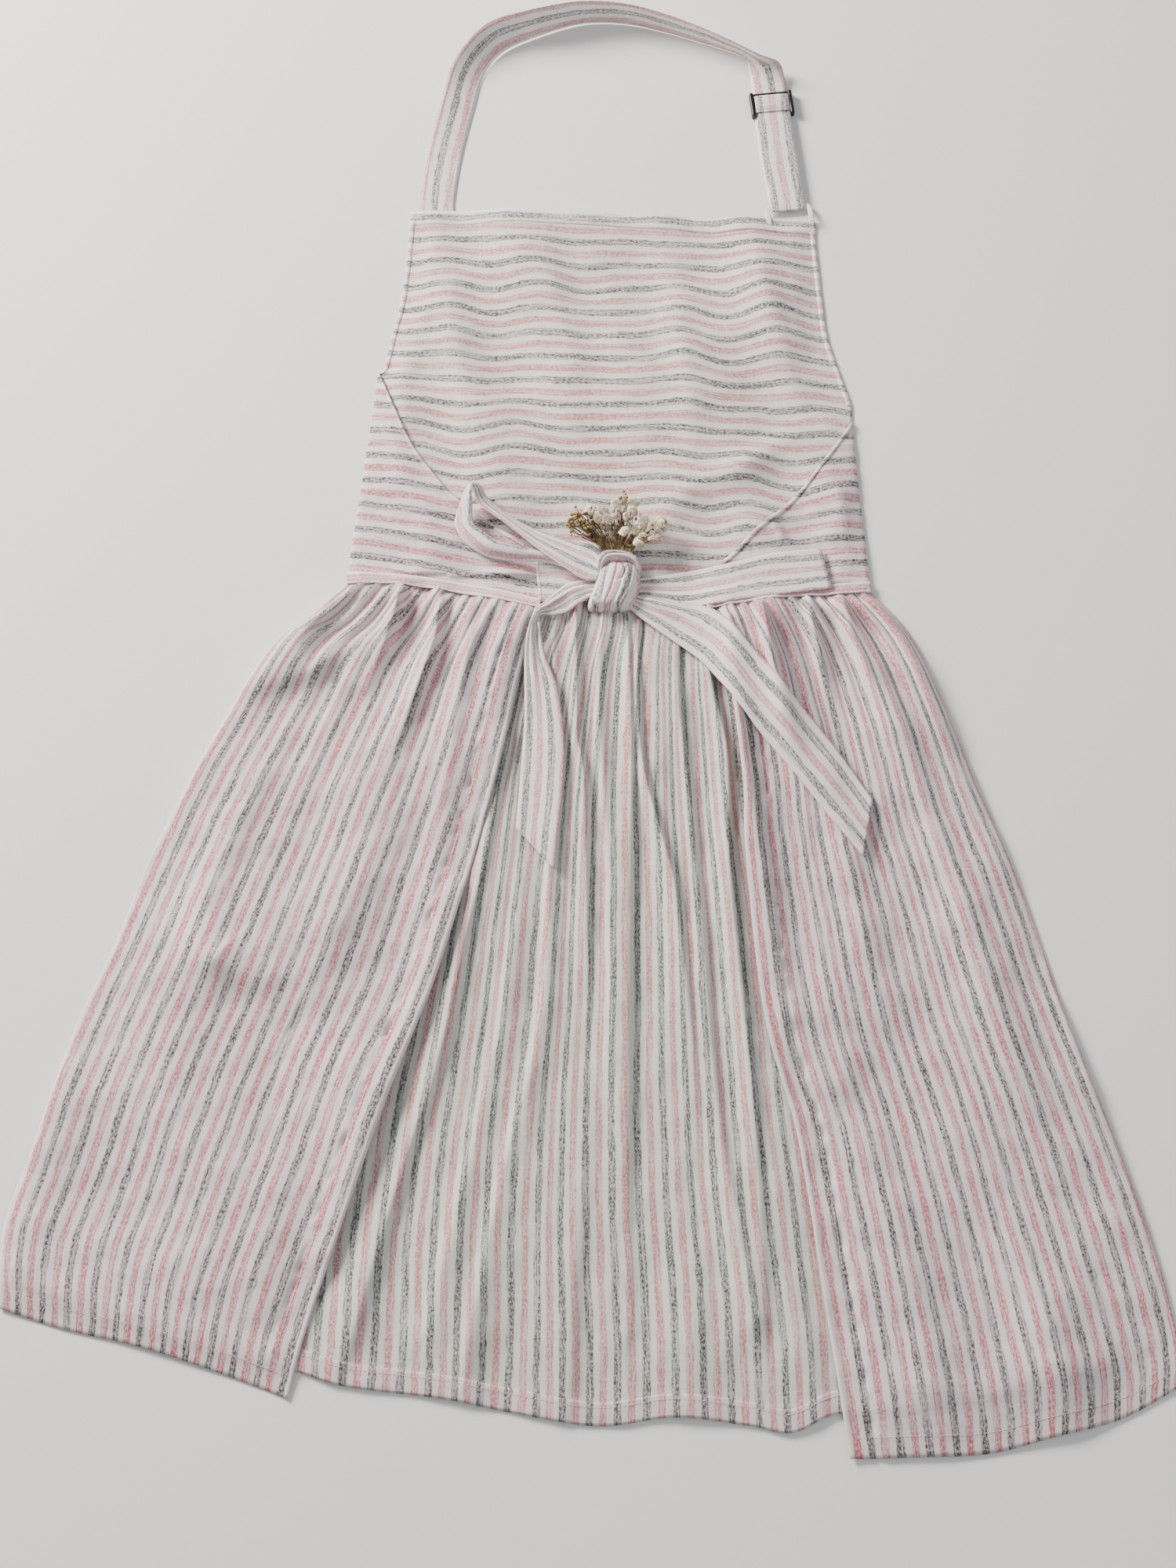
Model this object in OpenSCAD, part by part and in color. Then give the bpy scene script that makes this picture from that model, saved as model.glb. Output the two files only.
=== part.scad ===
// Wrap-back bib apron, laid flat with its tie side up and its ties in a half bow.
// +X runs to the right, +Y towards the neck strap and +Z up from the surface.

/* [Bib] */
// Width of the bib along its top edge
bib_w = 294; // [240:2:360]
// Height of the bib from the waist line to its top edge
bib_h = 290; // [230:5:360]
// Depth of the turned hem along the top edge
top_hem_w = 12; // [8:1:20]
// Thickness of the top hem, which holds the strap loop's ends
top_hem_t = 4; // [3.8:0.2:6]
// Width of the rolled edges of the bib and the wings
rolled_w = 5; // [3:0.5:8]

/* [Waist and skirt] */
// Width across the waist as it lies
waist_w = 356; // [290:2:440]
// Depth of the waist seams
seam_w = 8; // [5:1:14]
// Width across the hem, from corner to corner
hem_w = 722; // [600:2:880]
// Length of the front skirt at its middle, from the seam to the hem's edge
front_len = 545; // [450:5:680]
// Length of the left wrap skirt along its front edge
left_len = 515; // [430:5:640]
// Length of the right wrap skirt along its front edge
right_len = 550; // [450:5:660]
// Depth of the hem bands
hem_band_w = 14; // [8:1:25]
// Width of the turned facing along a wrap skirt's front edge
facing_w = 16; // [10:1:26]
// Thickness that the front cloth and its gathers take up
front_t = 3; // [2:0.5:6]
// Thickness that the wrap cloth and its gathers take up
wrap_t = 4; // [3:0.5:8]

/* [Neck strap] */
// Width of the neck strap
strap_w = 25; // [20:1:34]
// Thickness of the folded and stitched strap
strap_t = 0.8; // [0.6:0.1:1.2]
// Height of the arch above the bib's top edge
arch_rise = 154; // [120:2:200]
// Length of the straight run from the strap loop up to the arch
run_len = 100; // [86:2:130]
// Thickness of the fabric strip of the strap loop
loop_t = 0.6; // [0.4:0.1:1]
// Width of that strip
loop_strip_w = 4; // [3:0.5:6]

/* [Slider] */
// Length of the slider along the strap
slider_len = 20; // [16:1:26]
// Width of its side rails
rail_w = 2.8; // [2:0.2:4]
// Thickness of its bars
bar_t = 1.2; // [1:0.1:2]
// Width of its bars, along the strap
bar_w = 3; // [2.4:0.2:4]
// Distance from the strap loop to the middle of the slider
slider_at = 89; // [80:1:110]
// Clearance between the strap and what it runs through
fit_gap = 0.3; // [0.2:0.05:0.5]

/* [Ties and bow] */
// Thickness of a tie
tie_t = 1.6; // [1:0.2:3]
// Width of a tie at its seam
tie_w = 34; // [28:1:40]
// Height of the knot above the wrap cloth
knot_h = 14; // [10:1:20]
// Height of the bow loop's bands, which stand partly on edge
bow_h = 12; // [8:1:18]
// Length of the left tail
left_tail_len = 178; // [120:2:230]
// Length of the right tail
right_tail_len = 222; // [150:2:260]

/* [Flowers] */
// Width of the bundle of stems in the knot
stem_w = 22; // [16:1:24]
// Thickness of the bundle of stems
stem_t = 2.8; // [2:0.2:4]
// Radius of one cluster of white flowers
bloom_r = 8; // [6:0.5:8.5]
// Radius of one cluster of buds
bud_r = 5; // [4:0.5:5.5]

/* [Hidden] */

bloom_fn = 12;

// Heights of the layers above the surface
wrap_z = front_t;
tie_z = front_t + wrap_t;
turn_z = tie_z + tie_t;
tail_z = tie_z + fit_gap;
bow_z = turn_z + 0.4;
stem_z = tie_z + 3.1;

// How the apron lies: sideways middles, the waist's height and how far it is turned
bib_x = 20;
waist_x = 16;
waist_y = 55;
bib_skew = 4;
waist_skew = 3;

// Corners of the bib and of the waist
bib_tl = [bib_x - bib_w / 2, waist_y + bib_h + bib_skew];
bib_tr = [bib_x + bib_w / 2, waist_y + bib_h - bib_skew];
waist_l = [waist_x - waist_w / 2, waist_y + waist_skew];
waist_r = [waist_x + waist_w / 2, waist_y - waist_skew];

// The bib's side edges: share of the spread and share of the height, in percent
left_upper = [[11, 25], [26, 34], [43, 45]];
left_lower = [[69, 64], [83, 80], [94, 93], [100, 100]];
right_upper = [[11, 27], [22, 35], [56, 46], [74, 53]];
right_lower = [[76, 60], [81, 74], [93, 88], [100, 100]];

// Inner ends of the wrap's waist seams, and the corners of the wraps' front edges
left_seam_end = [-30, waist_l.y - 21];
right_seam_end = [82, waist_r.y - 16];
left_hem_in = [-178, left_seam_end.y - seam_w - left_len];
right_hem_in = [158, right_seam_end.y - seam_w - right_len];

// Outer corners of the skirts
left_side_end = [-hem_w / 2, left_hem_in.y + 98];
right_side_end = [hem_w / 2, right_hem_in.y + 62];
left_hem_out = left_side_end + [5, -44];
right_hem_out = right_side_end + [-4, -18];
front_hem_l = left_side_end + [11, -30];
front_hem_r = right_side_end + [-11, 5];
front_hem_mid_y = waist_y - seam_w - front_len;

flare = 0.7;
steps = 8;
hidden_edge = 20;

// Fold of each wing at the bib's side, and the lower end of its diagonal edge
left_fold = side_point(bib_tl, waist_l, left_upper[2]);
right_fold = side_point(bib_tr, waist_r, right_upper[3]) + [0, -10];
left_diag_end = left_seam_end + [4, 33];
right_diag_end = right_seam_end + [0, 22];

// The strap's straight run leans, and starts at the loop on the bib's top edge
run_lean = 6;
loop_at = bib_tr + [-20, 10.5];
run_gap = 10;
back_z = bar_t + fit_gap;
loop_z = back_z + strap_t + fit_gap;
front_z = loop_z + loop_t + fit_gap;
centre_bar_z = front_z + strap_t + fit_gap;
slider_h = centre_bar_z + bar_t;
loop_w = strap_w + 9;
ear_w = 3.2;
sewn_t = 0.8;

// Stations of the arch: share of the span and of the rise in percent, tilt in degrees, lift
arch = [
    [0, 0, 0, 0], [2, 23, 5, 0], [6, 52, 14, 0], [9, 70, 26, 0], [15, 83, 42, 0], [26, 92, 56, 0],
    [42, 100, 70, 0], [58, 100, 80, 0], [77, 89, 86, 0], [90, 80, 80, 0], [98, 71, 42, 0.6]
];
foot = [bib_tl.x + 32, bib_tl.y + 11];
run_top = run_point([-strap_w / 2, run_len]);

// The knot's outline, and the tails
knot_pts = [[0, 33], [35, 29], [43, 50], [40, 62], [8, 62], [0, 50]];
knot_c = [21, 47];
tail_top_y = 24;
right_tail_start = [42, 29];
right_tail_dir = [0.62, -0.785];
wrap_w = 34;
wrap_d = 10;

blooms = [[8, 99], [21, 104], [35, 104], [47, 98], [53, 87], [40, 93], [27, 95], [14, 94]];
buds = [[-8, 94], [-9, 101], [-5, 87], [-6, 106]];

// A point on a bib side from a share of its spread and height
function side_point(top, bottom, share) = [
    top.x + (bottom.x - top.x) * share.x / 100,
    top.y + (bottom.y - top.y) * share.y / 100
];

// A point under the top hem, a distance in from the bib's left corner
function under_hem(d) = bib_tl + (bib_tr - bib_tl) * d / bib_w - [0, top_hem_w];

function side(top, bottom, shares, inset = 0) =
    [for (s = shares) side_point(top, bottom, s) + [inset, 0]];

// A skirt's flaring side edge, from the waist to the hem's corner
function flared(top, bottom) = [for (i = [0:steps]) let (t = i / steps)
    [top.x + (bottom.x - top.x) * pow(t, flare), top.y + (bottom.y - top.y) * t]];

// A line from a to b that sags below the straight one
function sagging(a, b, sag) = [for (i = [0:steps]) let (t = i / steps)
    a + (b - a) * t - [0, sag * sin(180 * t)]];

// A waist seam's line and a front edge's line, each bending towards one end
function bent(a, b, power) = [for (i = [0:steps]) let (t = i / steps)
    [a.x + (b.x - a.x) * t, a.y + (b.y - a.y) * pow(t, power)]];

function leaning(a, b, power) = [for (i = [0:steps]) let (t = i / steps)
    [a.x + (b.x - a.x) * pow(t, power), a.y + (b.y - a.y) * t]];

function moved(pts, by) = [for (p = pts) p + by];

function flipped(pts) = [for (i = [len(pts) - 1:-1:0]) pts[i]];

// A band between a line of points and the same line moved
function band(pts, by) = concat(pts, flipped(moved(pts, by)));

// A point given along the strap's straight run, in the part's own frame
function run_point(p) = loop_at + [
    p.x * cos(run_lean) - p.y * sin(run_lean),
    p.x * sin(run_lean) + p.y * cos(run_lean)
];

left_hem_pts = sagging(left_hem_out, left_hem_in, -4);
right_hem_pts = sagging(right_hem_in, right_hem_out, 15);
front_sag = (front_hem_l.y + front_hem_r.y) / 2 - front_hem_mid_y;
front_hem_pts = sagging(front_hem_l, front_hem_r, front_sag);
left_edge_pts = leaning(left_seam_end - [0, seam_w], left_hem_in, 1.15);
right_edge_pts = leaning(right_seam_end - [0, seam_w], right_hem_in, 1);
left_seam_pts = bent(waist_l, left_seam_end, 1.7);
right_seam_pts = bent(waist_r, right_seam_end, 1);
left_diag_pts = sagging(left_fold, left_diag_end, 34);
right_diag_pts = sagging(right_fold, right_diag_end, 12);

module layer(z, t, pts) {
    translate([0, 0, z]) linear_extrude(t) polygon(pts);
}

module on_run(z = 0) {
    translate([loop_at.x, loop_at.y, z]) rotate(run_lean) children();
}

module bib() {
    color("gainsboro") layer(0, front_t, concat(
        [under_hem(rolled_w)],
        side(bib_tl, waist_l, left_upper, rolled_w),
        side(bib_tl, waist_l, [left_upper[2]]),
        side(bib_tl, waist_l, left_lower),
        flipped(side(bib_tr, waist_r, right_lower)),
        side(bib_tr, waist_r, [right_upper[3]]),
        flipped(side(bib_tr, waist_r, right_upper, -rolled_w)),
        [under_hem(bib_w - rolled_w)]
    ));
}

module bib_top_hem() {
    color("silver") difference() {
        layer(0, top_hem_t, band([bib_tl, bib_tr], [0, -top_hem_w]));
        anchor_shape();
        loop_shape();
    }
}

module bib_left_edge() {
    color("white") layer(0, front_t, concat(
        [under_hem(0)], side(bib_tl, waist_l, left_upper),
        flipped(side(bib_tl, waist_l, left_upper, rolled_w)), [under_hem(rolled_w)]));
}

module bib_right_edge() {
    color("white") layer(0, front_t, concat(
        [under_hem(bib_w)], side(bib_tr, waist_r, right_upper),
        flipped(side(bib_tr, waist_r, right_upper, -rolled_w)), [under_hem(bib_w - rolled_w)]));
}

module front_waist_seam() {
    color("rosybrown") layer(0, front_t, band([waist_l, waist_r], [0, -seam_w]));
}

module front_skirt() {
    color("mistyrose") layer(0, front_t, concat(
        flared(waist_l - [0, seam_w], front_hem_l + [0, hem_band_w + hidden_edge]),
        moved(front_hem_pts, [0, hem_band_w]),
        flipped(flared(waist_r - [0, seam_w], front_hem_r + [0, hem_band_w + hidden_edge]))
    ));
}

module front_hem() {
    color("rosybrown") layer(0, front_t, band(front_hem_pts, [0, hem_band_w]));
}

module left_wing() {
    color("gainsboro") layer(wrap_z, wrap_t, concat(
        moved(left_diag_pts, [0, -rolled_w]),
        flipped(left_seam_pts),
        flipped(side(bib_tl, waist_l, [left_lower[0], left_lower[1], left_lower[2]]))
    ));
}

module left_wing_edge() {
    color("white") layer(wrap_z, wrap_t, band(left_diag_pts, [0, -rolled_w]));
}

module left_waist_seam() {
    color("rosybrown") layer(wrap_z, wrap_t, band(left_seam_pts, [0, -seam_w]));
}

// The whole outline of the left wrap skirt, and the strip along its front edge
module left_panel() {
    polygon(concat(flared(waist_l - [0, seam_w], left_side_end), left_hem_pts,
        flipped(left_edge_pts), flipped(moved(left_seam_pts, [0, -seam_w]))));
}

module left_facing_band() {
    polygon(band(concat([left_seam_end], left_edge_pts), [-facing_w, 0]));
}

module left_skirt() {
    color("lightpink") translate([0, 0, wrap_z]) linear_extrude(wrap_t) difference() {
        left_panel();
        polygon(band(left_hem_pts, [0, hem_band_w]));
        left_facing_band();
    }
}

module left_facing() {
    color("white") translate([0, 0, wrap_z]) linear_extrude(wrap_t) difference() {
        intersection() {
            left_panel();
            left_facing_band();
        }
        polygon(band(left_hem_pts, [0, hem_band_w]));
    }
}

module left_hem() {
    color("rosybrown") layer(wrap_z, wrap_t, band(left_hem_pts, [0, hem_band_w]));
}

module right_wing() {
    color("gainsboro") layer(wrap_z, wrap_t, concat(
        moved(right_diag_pts, [0, -rolled_w]),
        flipped(right_seam_pts),
        flipped(side(bib_tr, waist_r, [right_lower[1], right_lower[2]]))
    ));
}

module right_wing_edge() {
    color("white") layer(wrap_z, wrap_t, band(right_diag_pts, [0, -rolled_w]));
}

module right_waist_seam() {
    color("rosybrown") layer(wrap_z, wrap_t, band(right_seam_pts, [0, -seam_w]));
}

// The whole outline of the right wrap skirt, and the strip along its front edge
module right_panel() {
    polygon(concat(flared(waist_r - [0, seam_w], right_side_end), flipped(right_hem_pts),
        flipped(right_edge_pts), flipped(moved(right_seam_pts, [0, -seam_w]))));
}

module right_facing_band() {
    polygon(band(concat([right_seam_end], right_edge_pts), [facing_w, 0]));
}

module right_skirt() {
    color("lightpink") translate([0, 0, wrap_z]) linear_extrude(wrap_t) difference() {
        right_panel();
        polygon(band(right_hem_pts, [0, hem_band_w]));
        right_facing_band();
    }
}

module right_facing() {
    color("white") translate([0, 0, wrap_z]) linear_extrude(wrap_t) difference() {
        intersection() {
            right_panel();
            right_facing_band();
        }
        polygon(band(right_hem_pts, [0, hem_band_w]));
    }
}

module right_hem() {
    color("rosybrown") layer(wrap_z, wrap_t, band(right_hem_pts, [0, hem_band_w]));
}

// The sewn end of the neck strap, in a pocket under the bib's corner
module anchor_shape() {
    sewn_y = bib_tl.y - top_hem_w + 1;
    translate([foot.x - strap_w, sewn_y, 0]) cube([strap_w, foot.y - 2 - sewn_y, strap_t]);
}

module strap_anchor() {
    color("pink") anchor_shape();
}

// A strip bent into three sides of a rectangle, its ends held in the top hem
module loop_shape() {
    on_run(loop_z) {
        translate([-loop_w / 2, -loop_strip_w / 2, 0]) cube([loop_w, loop_strip_w, loop_t]);
        for (x = [-loop_w / 2, loop_w / 2 - ear_w])
            translate([x, -16, 0]) cube([ear_w, 16, loop_t]);
    }
}

module strap_loop() {
    color("white") loop_shape();
}

// The strap's turn round the loop's strip
module strap_fold() {
    web_y = -loop_strip_w / 2 - fit_gap - strap_t;
    color("pink") on_run() translate([-strap_w / 2, web_y, 0]) {
        translate([0, 0, back_z]) cube([strap_w, run_gap - 3.5 - web_y, strap_t]);
        translate([0, 0, front_z]) cube([strap_w, run_gap - 3.5 - web_y, strap_t]);
        translate([0, 0, back_z]) cube([strap_w, strap_t, front_z - back_z]);
    }
}

// One cross-section of the arch: the inner edge's place, a tangent and the station's tilt
function arch_ring(at, tangent, tilt, lift) =
    let (out = [-tangent.y, tangent.x, 0] / norm(tangent),
         across = out * cos(tilt) + [0, 0, sin(tilt)],
         through = [0, 0, cos(tilt)] - out * sin(tilt),
         base = [at.x, at.y, lift])
    [base, base + across * strap_w, base + across * strap_w + through * strap_t,
     base + through * strap_t];

function arch_at(i) = [
    foot.x + (run_top.x - foot.x) * arch[i][0] / 100,
    foot.y + arch_rise * arch[i][1] / 100
];

// The strap's two faces are split along the same diagonals, so it keeps its thickness
module neck_strap() {
    n = len(arch);
    pts = concat(
        [for (i = [0:n - 1]) each arch_ring(
            arch_at(i), i == 0 ? [0, 1] : i < n - 1 ? arch_at(i + 1) - arch_at(i - 1)
                : run_top - arch_at(i - 1), arch[i][2], arch[i][3])],
        arch_ring(run_top, [sin(run_lean), -cos(run_lean)], 0, back_z)
    );
    walls = [for (i = [0:n - 1], j = [0:3]) let (a = 4 * i + j, b = 4 * i + (j + 1) % 4)
        each j == 2 ? [[a, b, a + 4], [b, b + 4, a + 4]] : [[a, b, b + 4], [a, b + 4, a + 4]]];
    color("pink") polyhedron(pts, concat([[3, 2, 1, 0]], walls,
        [[4 * n, 4 * n + 1, 4 * n + 2, 4 * n + 3]]));
}

module strap_back_run() {
    color("pink") on_run(back_z) translate([-strap_w / 2, run_gap, 0])
        cube([strap_w, run_len - run_gap, strap_t]);
}

// The sewn strand over the back run, joined to it where both turn into the loop
module strap_front_run() {
    color("lightpink") on_run() translate([-strap_w / 2, run_gap, 0]) {
        translate([0, 0, front_z]) cube([strap_w, slider_at - run_gap, strap_t]);
        translate([0, 0, back_z + strap_t]) cube([strap_w, 2, front_z - back_z - strap_t]);
    }
}

// Three-bar slider: two end bars under the strap, a middle bar over it and two side rails
module slider() {
    half = strap_w / 2 + fit_gap;
    color("black") on_run() translate([0, slider_at, 0]) {
        for (x = [-half - rail_w, half])
            translate([x, -slider_len / 2, 0]) cube([rail_w, slider_len, slider_h]);
        for (y = [-slider_len / 2, slider_len / 2 - bar_w])
            translate([-half, y, 0]) cube([2 * half, bar_w, bar_t]);
        translate([-half, -bar_w / 2, centre_bar_z]) cube([2 * half, bar_w, bar_t]);
    }
}

// The strap's sewn end, a saddle over the slider's middle bar
module strap_sewn_end() {
    color("pink") on_run(centre_bar_z) translate([-strap_w / 2, slider_at, 0]) difference() {
        translate([0, -bar_w / 2 - sewn_t, 0])
            cube([strap_w, bar_w + 2 * sewn_t, bar_t + sewn_t]);
        translate([-1, -bar_w / 2, -1]) cube([strap_w + 2, bar_w, bar_t + 1]);
    }
}

module left_tie() {
    color("white") layer(tie_z, tie_t, [
        [left_seam_end.x - 6, left_seam_end.y + tie_w - 1], [-18, left_seam_end.y + 31],
        knot_pts[5], [0, 35], [-14, left_seam_end.y - 2],
        [left_seam_end.x - 3, left_seam_end.y]
    ]);
}

module right_tie() {
    end = right_seam_end + [78, 8];
    color("white") layer(tie_z, tie_t, [
        end + [0, tie_w], [136, end.y + tie_w - 5], [108, 65], [89, 59], [57, 56], [42, 54],
        knot_pts[2], [37, 34.25], [66, 31], [81, 31], [99, 32], [135, end.y - 6], end + [7, 0]
    ]);
}

module knot() {
    color("whitesmoke") hull() {
        layer(tie_z, knot_h / 2, knot_pts);
        layer(tie_z, knot_h, [for (p = knot_pts) knot_c + 0.6 * (p - knot_c)]);
    }
}

// The turn of the tie over the top of the knot, with a tunnel for the stems
module knot_wrap() {
    color("gainsboro") difference() {
        translate([knot_pts[4].x, knot_pts[4].y, tie_z]) cube([wrap_w, wrap_d, stem_z - tie_z + 7]);
        translate([25 - stem_w / 2 - 2, knot_pts[4].y - 1, stem_z - fit_gap])
            cube([stem_w + 4, wrap_d + 2, stem_t + 2 * fit_gap]);
    }
}

// The stretch of the left tail from the knot to the fold where it turns down
module left_tail_turn() {
    color("white") layer(turn_z, tie_t, [
        [0, 50], [-11, 47], [-30, 35], [-39, tail_top_y + 4],
        [-30, tail_top_y + 3], [-10, tail_top_y + 4], [0, 34]
    ]);
}

module left_tail() {
    end_y = tail_top_y - left_tail_len;
    color("gainsboro") layer(tail_z, tie_t, [
        [-39, tail_top_y], [-30, tail_top_y], [-22, tail_top_y - 36], [-15, tail_top_y - 59],
        [-14, tail_top_y - 110], [-17, end_y + 4], [-23, end_y], [-43, end_y + 28],
        [-42, tail_top_y - 100], [-41, tail_top_y - 48]
    ]);
}

module right_tail() {
    tip = right_tail_start + right_tail_dir * right_tail_len;
    color("gainsboro") layer(tail_z, tie_t, [
        right_tail_start, [80, 29.5], [94, 16], [133, -29], [162, -74],
        tip + [9, 34], tip, [131, -74], [83, -12]
    ]);
}

module bow_loop() {
    color("whitesmoke") translate([0, 0, bow_z]) linear_extrude(bow_h) difference() {
        polygon([[-2, 75], [-18, 83], [-30, 90], [-56, 103], [-72, 124], [-81, 124],
            [-88, 98], [-84, 81], [-67, 70], [-46, 65], [-28, 64], [-12, 57]]);
        polygon([[-77, 119], [-57, 94], [-33, 76], [-46, 79], [-61, 83], [-77, 95]]);
    }
}

module flower_stems() {
    half = stem_w / 2;
    foot_y = knot_pts[4].y + fit_gap;
    color("peru") layer(stem_z, stem_t, [
        [25 - half, foot_y], [25 + half, foot_y], [25 + half, foot_y + 12],
        [46, foot_y + 22], [2, foot_y + 22], [25 - half, foot_y + 12]
    ]);
}

module white_flowers() {
    color("ivory") for (p = blooms)
        translate([p.x, p.y, stem_z + 2 + bloom_r]) sphere(bloom_r, $fn = bloom_fn);
}

module flower_buds() {
    color("tan") for (p = buds)
        translate([p.x, p.y, stem_z + 3 + bud_r]) sphere(bud_r, $fn = bloom_fn);
}

bib();
bib_top_hem();
bib_left_edge();
bib_right_edge();
front_waist_seam();
front_skirt();
front_hem();
left_wing();
left_wing_edge();
left_waist_seam();
left_skirt();
left_facing();
left_hem();
right_wing();
right_wing_edge();
right_waist_seam();
right_skirt();
right_facing();
right_hem();
strap_anchor();
strap_loop();
strap_fold();
neck_strap();
strap_back_run();
strap_front_run();
slider();
strap_sewn_end();
left_tie();
right_tie();
knot();
knot_wrap();
left_tail_turn();
left_tail();
right_tail();
bow_loop();
flower_stems();
white_flowers();
flower_buds();
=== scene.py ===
"""Looks of a wrap-back bib apron that lies flat with its tie side up, its ties in a half bow.

Lengths inside the classes are millimetres in the part's own frame; meshes are written in metres.
"""

from __future__ import annotations

import logging
import math
import zlib
from dataclasses import dataclass, field
from enum import Enum

import bmesh
import bpy
import numpy as np
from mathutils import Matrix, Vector

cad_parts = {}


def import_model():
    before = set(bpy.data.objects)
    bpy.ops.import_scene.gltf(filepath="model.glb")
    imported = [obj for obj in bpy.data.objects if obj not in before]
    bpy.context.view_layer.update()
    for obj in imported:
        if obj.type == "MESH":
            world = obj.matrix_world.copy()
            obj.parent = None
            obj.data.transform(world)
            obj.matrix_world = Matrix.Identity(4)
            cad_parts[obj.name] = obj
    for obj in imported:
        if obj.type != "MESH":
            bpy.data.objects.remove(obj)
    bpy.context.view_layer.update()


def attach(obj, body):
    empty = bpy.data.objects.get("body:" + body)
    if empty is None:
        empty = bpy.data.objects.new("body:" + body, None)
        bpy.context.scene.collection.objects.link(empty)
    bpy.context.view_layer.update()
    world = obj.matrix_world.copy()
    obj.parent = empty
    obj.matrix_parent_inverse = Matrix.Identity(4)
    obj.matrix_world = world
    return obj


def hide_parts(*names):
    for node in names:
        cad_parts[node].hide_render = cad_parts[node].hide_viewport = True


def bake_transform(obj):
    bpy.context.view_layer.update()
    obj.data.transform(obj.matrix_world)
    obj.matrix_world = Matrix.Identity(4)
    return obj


MM = 0.001
Array = np.ndarray
Points = list[tuple[float, ...]]
Place = tuple[float, float, float]
log = logging.getLogger("apron")


# ---------------------------------------------------------------- numbers


def random_for(name: str) -> np.random.Generator:
    """A random source that is the same on every run for one name."""
    return np.random.default_rng(zlib.crc32(name.encode()))


def ease(low: float, high: float, x: Array) -> Array:
    """A smooth step from 0 at low to 1 at high."""
    t = np.clip((np.asarray(x, float) - low) / (high - low), 0, 1)
    return t * t * (3 - 2 * t)


def domed(x: Array, fullness: float) -> Array:
    """How high a round-topped strip stands: 0 at both ends, 1 in the middle, flatter when fuller."""
    return np.sqrt(np.clip(1 - np.abs(2 * x - 1) ** fullness, 0, 1))


def waves(x: Array, y: Array, length: float, name: str, count: int = 5) -> Array:
    """Soft random waves in plan, about -1 to 1.

    Args:
        x: Places along the first direction, in millimetres.
        y: Places along the second direction, in millimetres.
        length: Typical wavelength in millimetres.
        name: What the waves belong to, which seeds them.
        count: How many plane waves are summed.

    Returns:
        Heights of the same shape as x.
    """
    rnd = random_for(name)
    total = np.zeros(np.broadcast(x, y).shape)
    for _ in range(count):
        angle = rnd.uniform(0, math.tau)
        size = length * rnd.uniform(0.7, 1.6)
        phase = rnd.uniform(0, math.tau)
        total = total + np.sin(math.tau * (x * math.cos(angle) + y * math.sin(angle)) / size + phase)
    return total / math.sqrt(count) / 1.2


def curve(points: Points | Array, count: int, even: bool = True) -> Array:
    """A smooth line through points.

    Args:
        points: Two or three numbers each, in millimetres.
        count: How many places to return.
        even: True spaces them by length, False by the points' own order.

    Returns:
        An array of count rows.
    """
    p = np.asarray(points, float)
    padded = np.vstack([2 * p[0] - p[1], p, 2 * p[-1] - p[-2]])
    dense = 24
    t = np.linspace(0, 1, dense, endpoint=False)[:, None]
    parts = []
    for i in range(len(p) - 1):
        a, b, c, d = padded[i : i + 4]
        second, third = 2 * a - 5 * b + 4 * c - d, 3 * b - a - 3 * c + d
        parts.append(0.5 * (2 * b + (c - a) * t + second * t**2 + third * t**3))
    line = np.vstack([*parts, p[-1:]])
    along = np.linspace(0, 1, len(line))
    if even:
        along = np.concatenate([[0], np.cumsum(np.linalg.norm(np.diff(line, axis=0), axis=1))])
    wanted = np.linspace(0, along[-1], count)
    return np.stack([np.interp(wanted, along, line[:, k]) for k in range(p.shape[1])], axis=1)


def lengths(points: Array) -> Array:
    """Distance travelled along the first axis of a line or of each column of a grid."""
    steps = np.linalg.norm(np.diff(points, axis=0), axis=-1)
    return np.concatenate([np.zeros((1, *steps.shape[1:])), np.cumsum(steps, axis=0)])


def patch(top: Array, bottom: Array, left: Array, right: Array) -> Array:
    """A plan grid that fits four border lines, with rows from top to bottom."""
    rows, cols = len(left), len(top)
    s, t = np.linspace(0, 1, cols)[None, :, None], np.linspace(0, 1, rows)[:, None, None]
    across = (1 - t) * top[None] + t * bottom[None]
    down = (1 - s) * left[:, None] + s * right[:, None]
    corners = (1 - t) * ((1 - s) * top[0] + s * top[-1]) + t * ((1 - s) * bottom[0] + s * bottom[-1])
    return across + down - corners


# ---------------------------------------------------------------- materials


def linear(colour: str) -> tuple[float, float, float, float]:
    """The linear values of an sRGB hex colour."""
    parts = [int(colour[i : i + 2], 16) / 255 for i in (1, 3, 5)]
    r, g, b = (c / 12.92 if c <= 0.04045 else ((c + 0.055) / 1.055) ** 2.4 for c in parts)
    return (r, g, b, 1.0)


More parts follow.
